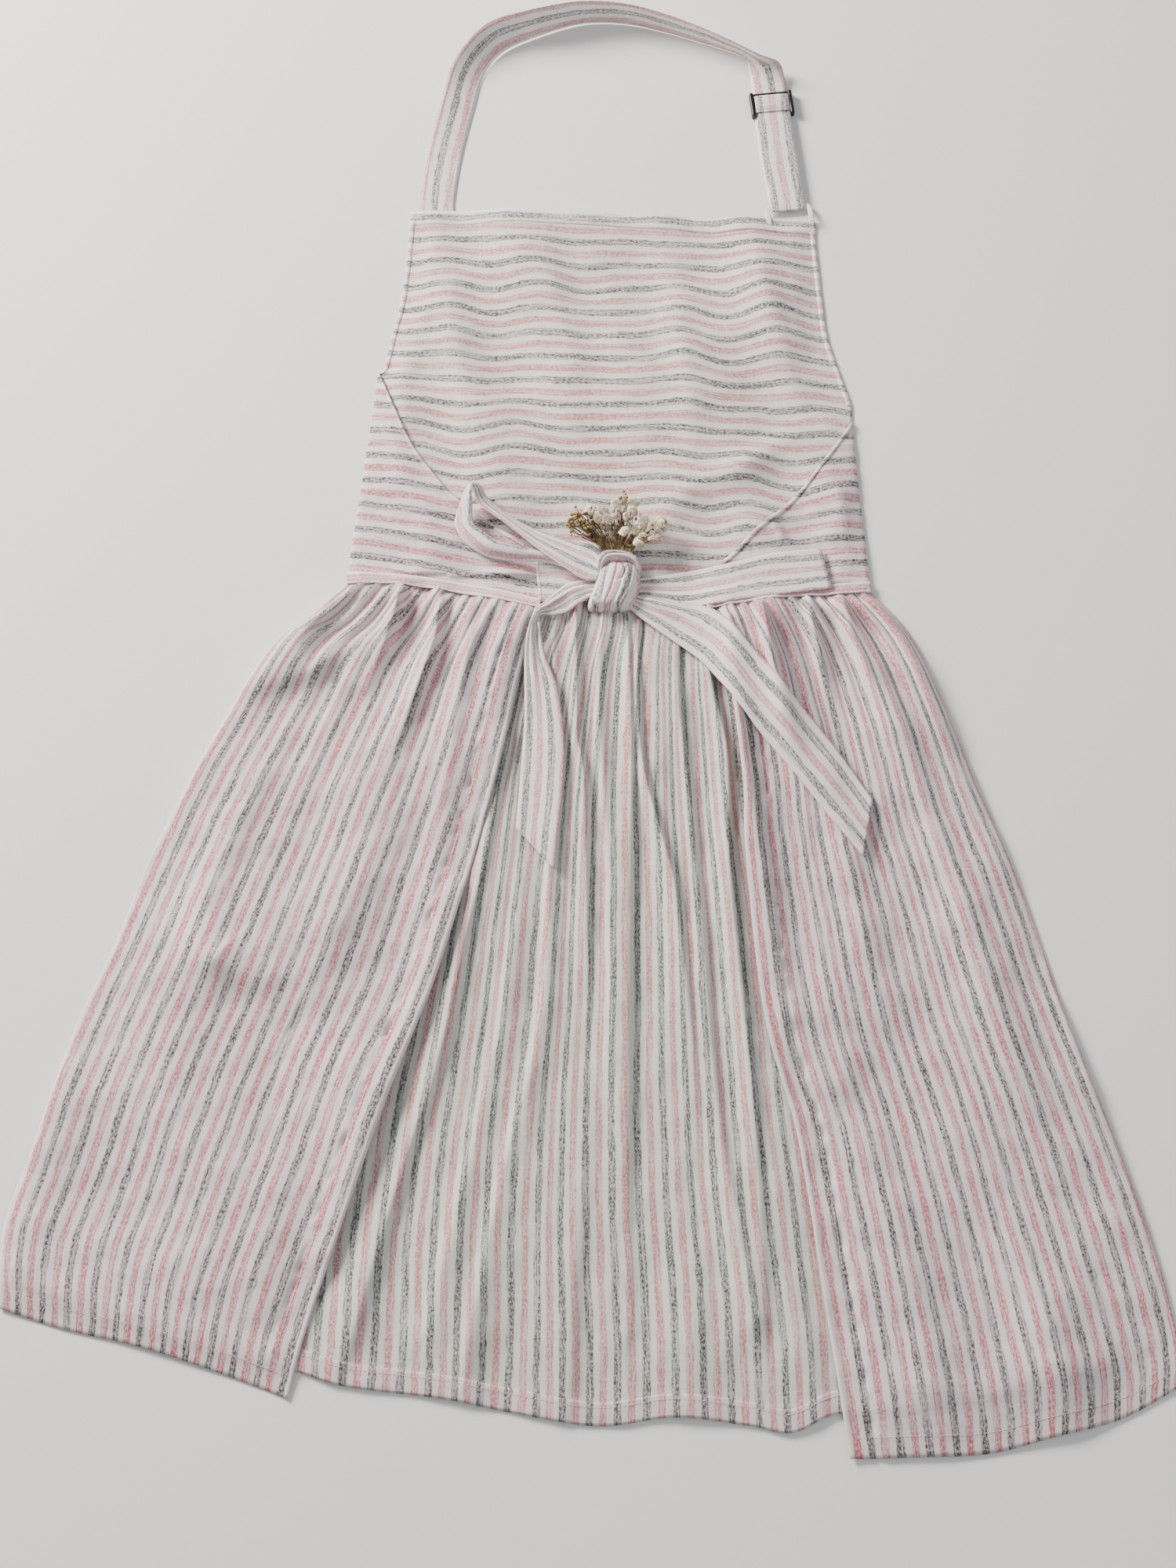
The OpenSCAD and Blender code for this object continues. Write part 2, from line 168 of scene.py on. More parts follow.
@dataclass
class NodeBoard:
    """A material's node tree while it is being drawn up."""

    material: bpy.types.Material

    @classmethod
    def fresh(cls, name: str) -> NodeBoard:
        """An empty material that is ready for nodes."""
        material = bpy.data.materials.new(name)
        material.use_nodes = True
        material.node_tree.nodes.clear()
        return cls(material)

    def add(self, kind: str, settings: dict | None = None, **links: object) -> bpy.types.Node:
        """Adds a node with its settings and links.

        Args:
            kind: The node's type name, without its ShaderNode prefix.
            settings: Properties of the node itself.
            **links: Inputs by name with underscores for spaces, or in_0, in_1 by place. A value
                sets the socket, and a socket or node links to it.

        Returns:
            The new node.
        """
        node = self.material.node_tree.nodes.new("ShaderNode" + kind)
        for key, value in (settings or {}).items():
            setattr(node, key, value)
        for key, value in links.items():
            place = int(key[3:]) if key.startswith("in_") else key.replace("_", " ")
            socket = node.inputs[place]
            if isinstance(value, bpy.types.Node):
                value = value.outputs[0]
            if isinstance(value, bpy.types.NodeSocket):
                self.material.node_tree.links.new(value, socket)
            else:
                socket.default_value = value
        return node


@dataclass(frozen=True)
class StripedCloth:
    """Yarn-dyed linen and cotton in plain weave: dry, matt, slubby, with brushed broken stripes."""

    name: str
    ground: str = "#EFE9E6"
    pink: str = "#D2717C"
    grey: str = "#565553"
    # The ground where a turned edge backs it, darker: painted shade of the turned layer beneath showing
    # through the thin cloth
    turned: str = "#E3D9D8"
    # A warp repeat is 19 mm from grey stripe to grey stripe, with pink halfway
    repeat_mm: float = 19.0
    stripe_mm: float = 5.2
    # The real threads are about 0.5 mm apart; drawn at 1.3 mm so that the weave shows
    thread_mm: float = 1.3
    stripe_strength: float = 0.94

    def material(self) -> bpy.types.Material:
        """Draws the cloth from its place across and along the stripes, in the UV map named cloth."""
        board = NodeBoard.fresh(self.name)
        add = board.add
        place = add("SeparateXYZ", Vector=add("UVMap", {"uv_map": "cloth"}))
        across = add("Math", {"operation": "MULTIPLY"}, in_0=place.outputs[0], in_1=1000.0).outputs[0]
        along = add("Math", {"operation": "MULTIPLY"}, in_0=place.outputs[1], in_1=1000.0).outputs[0]

        def cells(per_across: float, per_along: float, detail: float, shift: float) -> bpy.types.NodeSocket:
            """Noise that is stretched by its own count of cells per millimetre each way."""
            x = add("Math", {"operation": "MULTIPLY_ADD"}, in_0=across, in_1=per_across, in_2=shift)
            y = add("Math", {"operation": "MULTIPLY"}, in_0=along, in_1=per_along)
            at = add("CombineXYZ", X=x, Y=y, Z=shift)
            return add("TexNoise", Vector=at, Scale=1.0, Detail=detail, Roughness=0.6).outputs[0]

        wander = add("Math", {"operation": "MULTIPLY_ADD"}, in_0=cells(0.02, 0.016, 1.0, 3.1), in_1=3.4,
                     in_2=-1.7)
        brush = add("Math", {"operation": "MULTIPLY_ADD"}, in_0=cells(0.24, 0.11, 3.0, 7.7), in_1=3.0,
                    in_2=-1.5)
        moved = add("Math", {"operation": "ADD"}, in_0=across, in_1=wander)
        moved = add("Math", {"operation": "ADD"}, in_0=moved, in_1=brush)
        from_grey = add("Math", {"operation": "PINGPONG"}, in_0=moved, in_1=self.repeat_mm / 2)
        from_pink = add("Math", {"operation": "SUBTRACT"}, in_0=self.repeat_mm / 2, in_1=from_grey)
        # Streaks a thread or two wide, then melange flecks along each thread
        streak = add("MapRange", Value=cells(0.8, 0.035, 2.0, 1.3), From_Min=0.36, From_Max=0.54,
                     To_Min=0.42)
        fleck = add("MapRange", Value=cells(0.9, 0.5, 3.0, 5.9), From_Min=0.38, From_Max=0.58, To_Min=0.34)
        worn = add("Math", {"operation": "MULTIPLY"}, in_0=streak, in_1=fleck)
        half = self.stripe_mm / 2
        bands = []
        strengths = ((from_grey, self.stripe_strength), (from_pink, self.stripe_strength * 0.9))
        for distance, strength in strengths:
            band = add("MapRange", {"interpolation_type": "SMOOTHSTEP"}, Value=distance,
                       From_Min=half + 0.45, From_Max=half - 0.45, To_Max=strength)
            bands.append(add("Math", {"operation": "MULTIPLY"}, in_0=band, in_1=worn).outputs[0])
        slub = add("MapRange", Value=cells(0.9, 0.06, 1.0, 9.4), From_Min=0.3, From_Max=0.7, To_Min=0.93,
                   To_Max=1.03)
        pick = add("MapRange", Value=cells(0.05, 0.9, 1.0, 2.2), From_Min=0.3, From_Max=0.7, To_Min=0.93,
                   To_Max=1.03)
        warp = add("Math", {"operation": "SINE"},
                   in_0=add("Math", {"operation": "MULTIPLY"}, in_0=across, in_1=math.tau / self.thread_mm))
        weft = add("Math", {"operation": "SINE"},
                   in_0=add("Math", {"operation": "MULTIPLY"}, in_0=along, in_1=math.tau / self.thread_mm))
        weave = add("Math", {"operation": "MULTIPLY"}, in_0=warp, in_1=weft)
        shade = add("Math", {"operation": "MULTIPLY"}, in_0=slub, in_1=pick)
        shade = add("Math", {"operation": "MULTIPLY_ADD"}, in_0=weave, in_1=0.03, in_2=shade)
        # Where the turned attribute marks a turned layer beneath, the ground shifts to the turned colour and
        # the colour is multiplied darker: painted shade of that layer showing through
        turned = add("Attribute", {"attribute_name": "turned"}).outputs["Fac"]
        ground = add("MixRGB", Fac=turned, Color1=linear(self.ground), Color2=linear(self.turned))
        colour = add("MixRGB", Fac=bands[0], Color1=ground, Color2=linear(self.grey))
        colour = add("MixRGB", Fac=bands[1], Color1=colour, Color2=linear(self.pink))
        underlayer_shade = add("Math", {"operation": "MULTIPLY"}, in_0=turned, in_1=0.35)
        colour = add("MixRGB", {"blend_type": "MULTIPLY"}, Fac=underlayer_shade, Color1=colour, Color2=colour)
        tone = add("CombineXYZ", X=shade, Y=shade, Z=shade)
        colour = add("MixRGB", {"blend_type": "MULTIPLY"}, Fac=1.0, Color1=colour, Color2=tone)
        height = add("Math", {"operation": "MULTIPLY_ADD"}, in_0=weave, in_1=0.5, in_2=shade)
        bump = add("Bump", Strength=0.35, Distance=0.0003, Height=height)
        cloth = add("BsdfPrincipled", Base_Color=colour, Roughness=0.88, IOR=1.5, Normal=bump)
        cloth.inputs["Specular IOR Level"].default_value = 0.2
        cloth.inputs["Sheen Weight"].default_value = 0.12
        cloth.inputs["Sheen Roughness"].default_value = 0.5
        add("OutputMaterial", Surface=cloth)
        return board.material


@dataclass(frozen=True)
class SewingThread:
    """Polyester-cotton sewing thread: fine, slightly shiny, off-white."""

    name: str = "sewing_thread"
    colour: str = "#E6DCD9"

    def material(self) -> bpy.types.Material:
        """Draws a twisted thread whose plies repeat every 0.6 mm."""
        board = NodeBoard.fresh(self.name)
        coords = board.add("TexCoord")
        twist = board.add("TexWave", {"bands_direction": "DIAGONAL"}, Vector=coords.outputs["Object"],
                          Scale=1000 / 0.6 / 6.28, Distortion=1.0)
        shade = board.add("MapRange", Value=twist.outputs[1], To_Min=0.85, To_Max=1.0)
        tone = board.add("CombineXYZ", X=shade, Y=shade, Z=shade)
        colour = board.add("MixRGB", {"blend_type": "MULTIPLY"}, Fac=1.0, Color1=linear(self.colour),
                           Color2=tone)
        thread = board.add("BsdfPrincipled", Base_Color=colour, Roughness=0.6)
        board.add("OutputMaterial", Surface=thread)
        return board.material


@dataclass(frozen=True)
class MouldedAcetal:
    """Injection-moulded black acetal: smooth, slightly waxy, with faint flow marks."""

    name: str = "moulded_black_acetal"
    colour: str = "#141313"

    def material(self) -> bpy.types.Material:
        """Draws the plastic with a fine moulded grain of about 0.4 mm."""
        board = NodeBoard.fresh(self.name)
        coords = board.add("TexCoord")
        grain = board.add("TexNoise", Vector=coords.outputs["Object"], Scale=1000 / 0.4, Detail=2.0)
        rough = board.add("MapRange", Value=grain.outputs[0], To_Min=0.28, To_Max=0.42)
        bump = board.add("Bump", Strength=0.08, Distance=0.0002, Height=grain.outputs[0])
        plastic = board.add("BsdfPrincipled", Base_Color=linear(self.colour), Roughness=rough, Normal=bump)
        board.add("OutputMaterial", Surface=plastic)
        return board.material


@dataclass(frozen=True)
class DriedPlant:
    """Dried gypsophila: papery petals or wiry stems whose colour drifts from piece to piece."""

    name: str
    pale: str
    dark: str
    # How far apart the colour drifts, in millimetres
    drift_mm: float
    roughness: float = 0.8

    def material(self) -> bpy.types.Material:
        """Draws the plant's drifting colour with a fibrous bump of about 0.5 mm."""
        board = NodeBoard.fresh(self.name)
        coords = board.add("TexCoord")
        drift = board.add("TexNoise", Vector=coords.outputs["Object"], Scale=1000 / self.drift_mm,
                          Detail=2.0)
        mix = board.add("MapRange", Value=drift.outputs[0], From_Min=0.35, From_Max=0.65)
        colour = board.add("MixRGB", Fac=mix, Color1=linear(self.pale), Color2=linear(self.dark))
        fibre = board.add("TexNoise", Vector=coords.outputs["Object"], Scale=1000 / 0.5, Detail=1.0)
        bump = board.add("Bump", Strength=0.3, Distance=0.0003, Height=fibre.outputs[0])
        plant = board.add("BsdfPrincipled", Base_Color=colour, Roughness=self.roughness, Normal=bump)
        plant.inputs["Subsurface Weight"].default_value = 0.0
        board.add("OutputMaterial", Surface=plant)
        return board.material


@dataclass(frozen=True)
class Backdrop:
    """Seamless paper: matt and pale."""

    name: str = "seamless_paper"
    colour: str = "#F2F2EF"

    def material(self) -> bpy.types.Material:
        """Draws the paper with a faint tooth."""
        board = NodeBoard.fresh(self.name)
        coords = board.add("TexCoord")
        tooth = board.add("TexNoise", Vector=coords.outputs["Object"], Scale=400.0, Detail=2.0)
        bump = board.add("Bump", Strength=0.05, Distance=0.0005, Height=tooth.outputs[0])
        paper = board.add("BsdfPrincipled", Base_Color=linear(self.colour), Roughness=0.95, Normal=bump)
        board.add("OutputMaterial", Surface=paper)
        return board.material


@dataclass
class Workbench:
    """The finishes that the pieces share, made once each."""

    single: bpy.types.Material = field(default_factory=lambda: StripedCloth(
        "striped_linen_single", ground="#E8E3DE", pink="#C9646F", grey="#444341",
        stripe_strength=0.97).material())
    # The front skirt's inside face: the same cloth with a darker, greyer and greener ground and darker
    # stripes, painted shade with a greenish cast
    thin: bpy.types.Material = field(default_factory=lambda: StripedCloth(
        "striped_linen_inside_painted_shade", ground="#DDDDD5", pink="#BF5C68", grey="#3C3C38",
        stripe_strength=0.97).material())
    # Cloth lying over other layers, on the wings and wrap skirts: the same cloth with a darker, pinker
    # ground and deeper pinks, painted shade of the layers below showing through
    wrap: bpy.types.Material = field(default_factory=lambda: StripedCloth(
        "striped_linen_over_linen_painted_shade", ground="#E7DBDC", pink="#BA4759", grey="#403E3D",
        stripe_strength=0.98).material())
    double: bpy.types.Material = field(default_factory=lambda: StripedCloth(
        "striped_linen_double", ground="#F6F0EE", pink="#D06B77", grey="#4A4948",
        stripe_strength=0.94).material())
    thread: bpy.types.Material = field(default_factory=lambda: SewingThread().material())
    plastic: bpy.types.Material = field(default_factory=lambda: MouldedAcetal().material())
    petals: bpy.types.Material = field(default_factory=lambda: DriedPlant(
        "dried_gypsophila_petals", pale="#FBF3E2", dark="#DCCBA4", drift_mm=7.0).material())
    buds: bpy.types.Material = field(default_factory=lambda: DriedPlant(
        "dried_gypsophila_buds", pale="#B89B6A", dark="#7C6138", drift_mm=5.0).material())
    stems: bpy.types.Material = field(default_factory=lambda: DriedPlant(
        "dried_gypsophila_stems", pale="#8A764A", dark="#453620", drift_mm=4.0).material())


# ---------------------------------------------------------------- cloth meshes


def mesh_object(name: str, verts: Array, faces: list, material: bpy.types.Material,
                cloth: Array | None = None, turned: Array | None = None) -> bpy.types.Object:
    """Writes a mesh in metres and links it to the scene.

    Args:
        name: The piece's name.
        verts: Corners in millimetres.
        faces: Corner numbers of each face.
        material: The finish.
        cloth: Place of each corner across and along the stripes, in millimetres.
        turned: How far each corner is backed by a turned edge, from 0 to 1, where the striped cloth is
            painted darker as shade of that layer.

    Returns:
        The new object, shaded smooth.
    """
    mesh = bpy.data.meshes.new(name)
    mesh.from_pydata((np.asarray(verts, float) * MM).tolist(), [], faces)
    mesh.polygons.foreach_set("use_smooth", [True] * len(mesh.polygons))
    if cloth is not None:
        layer = mesh.uv_layers.new(name="cloth")
        corner = np.zeros(len(mesh.loops), int)
        mesh.loops.foreach_get("vertex_index", corner)
        layer.data.foreach_set("uv", (np.asarray(cloth, float)[corner] * MM).astype(np.float32).ravel())
    if turned is not None:
        layer = mesh.attributes.new("turned", "FLOAT", "POINT")
        layer.data.foreach_set("value", np.asarray(turned, np.float32))
    mesh.materials.append(material)
    mesh.validate()
    mesh.update()
    obj = bpy.data.objects.new(name, mesh)
    bpy.context.scene.collection.objects.link(obj)
    return obj


def grid_faces(rows: int, cols: int, first: int = 0, flip: bool = False) -> Array:
    """Quads of a grid of corners, numbered row by row."""
    i = (np.arange(rows - 1)[:, None] * cols + np.arange(cols - 1)[None]).ravel() + first
    quads = np.stack([i, i + 1, i + cols + 1, i + cols], axis=1)
    return quads[:, ::-1] if flip else quads


def normals(points: Array) -> Array:
    """Unit normals of a grid of points."""
    down, across = np.gradient(points, axis=0), np.gradient(points, axis=1)
    n = np.cross(across, down)
    n /= np.maximum(np.linalg.norm(n, axis=-1, keepdims=True), 1e-9)
    return n


@dataclass
class Cloth:
    """A grid of cloth: where each point lies, and its place in the uncut length of cloth."""

    points: Array
    uv: Array
    thickness: float = 0.6
    pressed: bool = False
    turned: Array | None = None

    def build(self, name: str, material: bpy.types.Material) -> bpy.types.Object:
        """Makes the cloth's closed mesh, with thin round edges where it was pressed double.

        Args:
            name: The piece's name.
            material: The finish.

        Returns:
            The new object.
        """
        rows, cols = self.points.shape[:2]
        n = normals(self.points)
        half = np.full((rows, cols, 1), self.thickness / 2)
        if self.pressed:
            s = np.linspace(-1, 1, cols)[None, :, None]
            half = half * np.maximum(np.sqrt(np.maximum(1 - np.abs(s) ** 8, 0)), 0.25)
        top, low = self.points + n * half, self.points - n * half
        up = (n[..., 2].mean() >= 0)
        verts = np.concatenate([top.reshape(-1, 3), low.reshape(-1, 3)])
        count = rows * cols
        border = np.concatenate([np.arange(cols), np.arange(1, rows) * cols + cols - 1,
                                 (rows - 1) * cols + np.arange(cols - 2, -1, -1),
                                 np.arange(rows - 2, 0, -1) * cols])
        after = np.roll(border, -1)
        rim = np.stack([border, border + count, after + count, after], axis=1)
        faces = np.concatenate([grid_faces(rows, cols, 0, True), grid_faces(rows, cols, count),
                                rim[:, ::-1]])
        if not up:
            faces = faces[:, ::-1]
        uv = np.concatenate([self.uv.reshape(-1, 2)] * 2)
        turned = None if self.turned is None else np.concatenate([self.turned.ravel()] * 2)
        obj = mesh_object(name, verts, faces.tolist(), material, uv, turned)
        log.debug("%s: %d corners", name, len(verts))
        return obj

    def area(self) -> float:
        """The surface area in square metres."""
        p = self.points
        a = np.cross(p[1:, 1:] - p[:-1, :-1], p[:-1, 1:] - p[1:, :-1])
        return float(np.linalg.norm(a, axis=-1).sum() / 2 * MM * MM)


@dataclass
class Bed:
    """Height of everything laid so far, on a plan grid, so that each layer lies on the ones below."""

    step: float = 2.0
    low: tuple[float, float] = (-390.0, -560.0)
    high: tuple[float, float] = (390.0, 560.0)
    z: Array = field(init=False)

    def __post_init__(self) -> None:
        """Starts with the bare surface."""
        cols, rows = (int((b - a) / self.step) + 1 for a, b in zip(self.low, self.high))
        self.z = np.zeros((rows, cols))

    def add(self, cloth: Cloth) -> None:
        """Lays a cloth's top face on the grid."""
        p = cloth.points
        for _ in range(2):
            mid = (p[1:] + p[:-1]) / 2
            full = np.empty((len(p) + len(mid), *p.shape[1:]))
            full[0::2], full[1::2] = p, mid
            p = np.swapaxes(full, 0, 1)
        i = np.rint((p[..., 1] - self.low[1]) / self.step).astype(int).ravel()
        j = np.rint((p[..., 0] - self.low[0]) / self.step).astype(int).ravel()
        ok = (i >= 0) & (j >= 0) & (i < self.z.shape[0]) & (j < self.z.shape[1])
        np.maximum.at(self.z, (i[ok], j[ok]), p[..., 2].ravel()[ok] + cloth.thickness / 2)

    def spread(self, reach: float) -> Array:
        """The heights, blurred by a reach in millimetres but never below the real ones."""
        z = self.z
        if reach > 0:
            sigma = reach / self.step
            offsets = np.arange(-int(3 * sigma) - 1, int(3 * sigma) + 2)
            weights = np.exp(-0.5 * (offsets / sigma) ** 2)
            weights /= weights.sum()
            for axis in (0, 1):
                z = sum(w * np.roll(z, int(k), axis=axis) for k, w in zip(offsets, weights))
            z = np.maximum(z, self.z)
        return z

    def under(self, xy: Array, reach: float = 4.0) -> Array:
        """What a layer at these plan points rests on, with small steps bridged over the reach."""
        z = self.spread(reach)
        u = np.clip((xy[..., 0] - self.low[0]) / self.step, 0, z.shape[1] - 1.001)
        v = np.clip((xy[..., 1] - self.low[1]) / self.step, 0, z.shape[0] - 1.001)
        j, i = u.astype(int), v.astype(int)
        a, b = u - j, v - i
        return (z[i, j] * (1 - a) * (1 - b) + z[i, j + 1] * a * (1 - b)
                + z[i + 1, j] * (1 - a) * b + z[i + 1, j + 1] * a * b)


@dataclass(frozen=True)
class Fold:
    """A ridge or a valley along a line in plan.

    The height and the width change along the line; left and right scale the width on each side.
    """

    line: Points
    height: tuple[float, ...]
    width: tuple[float, ...]
    left: float = 1.0
    right: float = 1.0

    def lift(self, xy: Array) -> Array:
        """Height that the fold adds at plan points."""
        line = curve(self.line, 24)
        spans = np.linspace(0, 1, 24)
        flat = xy.reshape(-1, 2)
        reach = 3.2 * max(self.width) * max(self.left, self.right)
        near = ((flat > line.min(0) - reach) & (flat < line.max(0) + reach)).all(1)
        out = np.zeros(len(flat))
        p = flat[near]
        if len(p):
            a, d = line[:-1], np.diff(line, axis=0)
            t = np.clip(((p[:, None] - a) * d).sum(-1) / (d * d).sum(-1), 0, 1)
            off = p[:, None] - (a + t[..., None] * d)
            far = np.linalg.norm(off, axis=-1)
            k = far.argmin(1)
            row = np.arange(len(p))
            side = np.sign(d[k, 0] * off[row, k, 1] - d[k, 1] * off[row, k, 0])
            share = spans[k] + t[row, k] / 23
            height = np.interp(share, np.linspace(0, 1, len(self.height)), self.height)
            width = np.interp(share, np.linspace(0, 1, len(self.width)), self.width)
            width = width * np.where(side > 0, self.left, self.right)
            out[near] = height * np.exp(-((far[row, k] / width) ** 1.7))
        return out.reshape(xy.shape[:-1])


@dataclass
class Gathers:
    """Cloth drawn up on a seam: small pleats that open out down the skirt."""

    name: str
    count: int
    flat_width: float
    depth: float
    reach: float

    def apply(self, plan: Array) -> tuple[Array, Array]:
        """Works out the pleats of a skirt panel.

        Args:
            plan: The panel's plan grid, its first row on the seam.

        Returns:
            The lift at each point, and each point's place across the cloth.
        """
        rnd = random_for(self.name)
        rows, cols = plan.shape[:2]
        s = np.linspace(0, 1, cols)[None, :]
        down = lengths(plan).mean(1)[:, None]
        width = lengths(np.swapaxes(plan, 0, 1))[-1][:, None]
        spare = np.maximum(self.flat_width - width, 0)
        middles = (np.arange(self.count) + 0.5 + rnd.uniform(-0.3, 0.3, self.count)) / self.count
        weights = rnd.uniform(0.5, 1.5, self.count)
        weights /= weights.sum()
        lift, taken = np.zeros((rows, cols)), np.zeros((rows, cols))
        reaches = rnd.uniform(0.45, 1.5, self.count) * self.reach
        leans = rnd.uniform(-0.35, 0.35, self.count)
        for middle, weight, reach, lean in zip(middles, weights, reaches, leans):
            at = middle + lean / self.count * ease(0, 260, down)
            tight = 0.16 / self.count + 0.5 / self.count * ease(0, 330, down)
            taken = taken + weight * 0.5 * (1 + np.tanh((s - at) / tight))
            fade = np.exp(-((down / reach) ** 1.3))
            near_seam = 0.3 + 0.7 * ease(0, 16, down)
            strength = self.depth * (0.6 + 0.5 * weight * self.count) * (0.95 * fade + 0.05) * near_seam
            off = ((s - at) * self.count + 0.42) / (0.34 + 0.5 * (1 - fade))
            lift = lift + strength * np.exp(-off**2)
        return lift, s * width + spare * taken


def ribbon(first: Points, second: Points, rows: int, cols: int, start: float, width: float,
           crown: float = 0.0) -> tuple[Array, Array]:
    """A band of cloth between two edge lines whose points pair up.

    Args:
        first: One edge, from start to end.
        second: The other edge, with as many points.
        rows: Places along the band.
        cols: Places across it.
        start: Place across the stripes of the first edge, in millimetres.
        width: The band's own width in millimetres.
        crown: How far the middle stands proud of the edges.

    Returns:
        The points, and their place across and along the stripes.
    """
    a, b = curve(first, rows, even=False), curve(second, rows, even=False)
    s = np.linspace(0, 1, cols)
    points = a[:, None] * (1 - s[None, :, None]) + b[:, None] * s[None, :, None]
    along = lengths((a + b) / 2)
    uv = np.stack(np.broadcast_arrays(start + s[None] * width, along[:, None]), axis=-1)
    if crown and points.shape[-1] == 3:
        points = points + normals(points) * (crown * np.sin(np.pi * s))[None, :, None]
    return points, uv


def laid(bed: Bed, plan: Array, lift: Array | float, thickness: float, reach: float = 4.0) -> Array:
    """Plan points with the height that they have on the layers below."""
    return np.concatenate([plan, (bed.under(plan, reach) + thickness / 2 + 0.1 + lift)[..., None]], axis=-1)


def stiffened(grid: Array, passes: int) -> Array:
    """Evens out a grid's heights, as cloth does that is too stiff to follow every bump below it."""
    z = grid[..., 2].copy()
    for _ in range(passes):
        wide = np.pad(z, 1, mode="edge")
        z = (wide[:-2, 1:-1] + wide[2:, 1:-1] + wide[1:-1, :-2] + wide[1:-1, 2:] + 2 * z) / 6
    return np.concatenate([grid[..., :2], z[..., None]], axis=-1)


def stitches(name: str, line: Array, material: bpy.types.Material, body: str, pitch: float = 3.0,
             radius: float = 0.24) -> bpy.types.Object:
    """A row of machine stitches as short round threads.

    Args:
        name: The piece's name.
        line: Places along the row, in millimetres.
        material: The thread.
        body: The CAD body that it rides on.
        pitch: Length of one stitch and its gap.
        radius: Half the thread's thickness.

    Returns:
        The new object.
    """
    along = lengths(line)
    count = max(2, int(along[-1] / pitch))
    verts, faces = [], []
    ring = [(math.cos(a), math.sin(a)) for a in np.arange(5) * math.tau / 5]
    for k in range(count):
        at = [np.array([np.interp((k + f) * pitch, along, line[:, c]) for c in range(3)])
              for f in (0.06, 0.2, 0.6, 0.74)]
        d = at[-1] - at[0]
        d /= max(np.linalg.norm(d), 1e-9)
        side = np.cross(d, (0, 0, 1.0))
        side /= max(np.linalg.norm(side), 1e-9)
        up = np.cross(side, d)
        base = len(verts)
        for p, r, sink in zip(at, (0.5, 1, 1, 0.5), (0.25, 0, 0, 0.25)):
            verts += [p - up * sink * radius * 2 + radius * r * (side * x + up * y) for x, y in ring]
        for j in range(3):
            faces += [(base + 5 * j + i, base + 5 * j + (i + 1) % 5, base + 5 * j + 5 + (i + 1) % 5,
                       base + 5 * j + 5 + i)
                      for i in range(5)]
        faces += [tuple(base + i for i in range(4, -1, -1)), tuple(base + 15 + i for i in range(5))]
    obj = mesh_object(name, np.array(verts), faces, material)
    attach(obj, body)
    return obj


# ---------------------------------------------------------------- sub-assemblies

BIB_TOP = 349.0
SINGLE = 0.5


@dataclass
class Shop:
    """What every sub-assembly works with: the finishes and the layers laid so far."""

    bench: Workbench
    bed: Bed

    def piece(self, name: str, cloth: Cloth, material: bpy.types.Material, nodes: list[str], slot: str,
              body: str = "apron", lay: bool = True) -> bpy.types.Object:
        """Builds a cloth piece, hides the CAD nodes that it stands for, and lays it on the bed.

        Args:
            name: The piece's name.
            cloth: Its grid of cloth.
            material: The finish.
            nodes: The CAD nodes that it stands for.
            slot: Name of a material slot; not used.
            body: The CAD body that it rides on, or nothing if it is blended later.
            lay: Whether later layers lie on top of it.

        Returns:
            The new object.
        """
        obj = cloth.build(name, material)
        if nodes:
            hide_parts(*nodes)
        if body:
            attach(obj, body)
        if lay:
            self.bed.add(cloth)
        log.info("%s: %.0f square centimetres of cloth", name, cloth.area() * 1e4)
        return obj

    def seam_row(self, name: str, line: Points | Array, body: str = "apron", proud: float = 0.12,
                 pitch: float = 3.0, radius: float = 0.2) -> bpy.types.Object:
        """Sews a row of stitches along a plan line, on top of what has been laid.

        Args:
            name: The piece's name.
            line: The row's places in plan.
            body: The CAD body that it rides on.
            proud: How far the thread's middle stands above the cloth.
            pitch: Length of one stitch and its gap.
            radius: Half the thread's thickness.

        Returns:
            The new object.
        """
        plan = curve(line, max(20, int(lengths(np.asarray(line, float))[-1] / 3)))
        z = self.bed.under(plan, 0.0) + proud
        return stitches(name, np.column_stack([plan, z]), self.bench.thread, body, pitch, radius)


